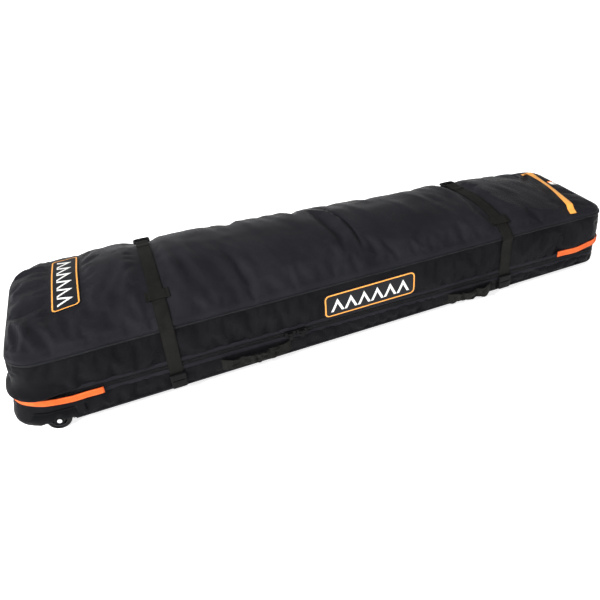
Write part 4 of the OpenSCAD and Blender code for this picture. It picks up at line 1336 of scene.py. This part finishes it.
# %% Badge finish and patches
def badge_finish(name, half_a, half_b):
    """Amber where the distance to a rounded rectangle is small, white inside a zigzag band."""
    finish = Finish(name)
    a, b = finish.along()
    radius, line, inset = 0.0135, 0.0038, 0.0022
    out_a = (abs(a) - (half_a - inset - radius)).at_least(0.0)
    out_b = (abs(b) - (half_b - inset - radius)).at_least(0.0)
    distance = (out_a * out_a + out_b * out_b).root() - radius
    border = distance.step(-line - 0.0004, -line) * (1 - distance.step(-0.0004, 0.0))
    peak_half, count, thick = half_a - inset - 0.0165, 6, 0.0150
    saw = ((a + peak_half) * (count / (2 * peak_half))).fraction()
    ridge = 1 - abs(saw - 0.5) * 2
    height, base = (half_b - 0.0165) * 2, -(half_b - 0.0165)
    above = ridge * height + base - b
    stroke = above.step(0.0, 0.0006) * (1 - above.step(thick, thick + 0.0006))
    over_base = b.step(base - 0.0002, base + 0.0004)
    in_width = 1 - abs(a).step(peak_half - 0.0003, peak_half + 0.0003)
    white_share = stroke * over_base * in_width
    clouds = finish.cloud(finish.place(), 700.0)
    ground = finish.blend(clouds, (0.007, 0.0072, 0.0086), (0.016, 0.0165, 0.0195))
    framed = finish.blend(border, ground, (0.90, 0.38, 0.075))
    printed = finish.blend(white_share, framed, (0.86, 0.86, 0.84))
    inked = border.at_least(white_share)
    return finish.set(Base_Color=printed, Roughness=0.55 - inked * 0.12,
                      Normal=finish.bump(inked * 4 + clouds * 0.4, 0.00015), Specular_IOR_Level=0.1)


def patch(name, points, uv, finish, body, node):
    """A thin sheet with a rounded rim."""
    piece = new_piece(name, points, grid_faces(*points.shape[:2]), [finish], uv)
    thick = piece.modifiers.new("edge", "SOLIDIFY")
    thick.thickness, thick.offset = 0.0010, -1
    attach(piece, body), piece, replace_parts(piece, node)


def corner_cut(a, b, half_a, half_b, radius):
    """Draws the corners of a rectangle in to a round, by scaling b where a is near the end."""
    over = np.maximum(np.abs(a) - (half_a - radius), 0)
    return b * (half_b - radius + np.sqrt(np.maximum(radius**2 - over**2, 0))) / half_b


def patch_grid(half_a, half_b, radius=0.014):
    """Even steps across, and sine steps along that draw together at both rounded ends."""
    along = np.sin(np.linspace(-np.pi / 2, np.pi / 2, 110)) * half_a
    a, b = np.meshgrid(along, np.linspace(-half_b, half_b, 30), indexing="ij")
    return a, corner_cut(a, b, half_a, half_b, radius)


side_half, side_tall, side_lift = 0.135, 0.036, 0.0014
a, b = patch_grid(side_half, side_tall)
badge_t, badge_z = 0.069 + a, 0.1345 + b
badge_low = zip_height(badge_t) + hem
badge_share = np.clip((badge_z - badge_low) / (seam_height(badge_t) - zip_height(badge_t) - hem), 0, 1)
front_x, front_s = around["x"][~back_side], around["s"][~back_side]
badge_s = np.interp(badge_t, front_x[np.argsort(front_x)], front_s[np.argsort(front_x)])
badge_stand = wall_stand(badge_t * np.cos(lean), -1.0 + 0 * a, badge_s, badge_share, True) + side_lift
side_points = (front_foot + badge_t[..., None] * front_along + badge_stand[..., None] * front_out
               + badge_z[..., None] * straight_up)
patch("side_badge_patch", side_points, np.stack([a, b], -1),
      badge_finish("badge_side", side_half, side_tall), "lid", "side_badge")

top_half, top_tall, top_lift = (badge_box[1][1] - badge_box[0][1]) / 2 + 0.008, 0.037, 0.0019
a, b = patch_grid(top_half, top_tall)
top_middle = (badge_box[0][1] + badge_box[1][1]) / 2 - 0.012
top_points = on_cover(top_badge_x + b, top_middle - a, top_lift)
patch("top_badge_patch", top_points, np.stack([a, b], -1), badge_finish("badge_top", top_half, top_tall),
      "lid", "top_badge")
print("patches:", round(2 * side_half, 3), "m on the front and", round(2 * top_half, 3), "m on the top")

# %% [markdown]
# ## Hard parts
# Wheels, housings, axles, screws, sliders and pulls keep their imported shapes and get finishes.

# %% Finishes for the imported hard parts
hard_finishes = {plastic: ["wheel_housing_front", "wheel_housing_back", "zip_slider_wheel_end",
                           "zip_slider_far_end", "zip_pull_wheel_end", "zip_pull_far_end"],
                 steel: ["axle_front", "axle_back", "housing_screws", "bearings_front", "bearings_back"],
                 rubber: ["tyre_front", "tyre_back"], rim_finish: ["rim_front", "rim_back"],
                 board_finish: ["base_board"]}
for finish, names in hard_finishes.items():
    for node in names:
        mesh = frame["nodes"][node].data
        mesh.materials.clear()
        mesh.materials.append(finish)
shown = [n for n, o in frame["nodes"].items() if not o.hide_render]
print("packed parts still shown:", sorted(shown))
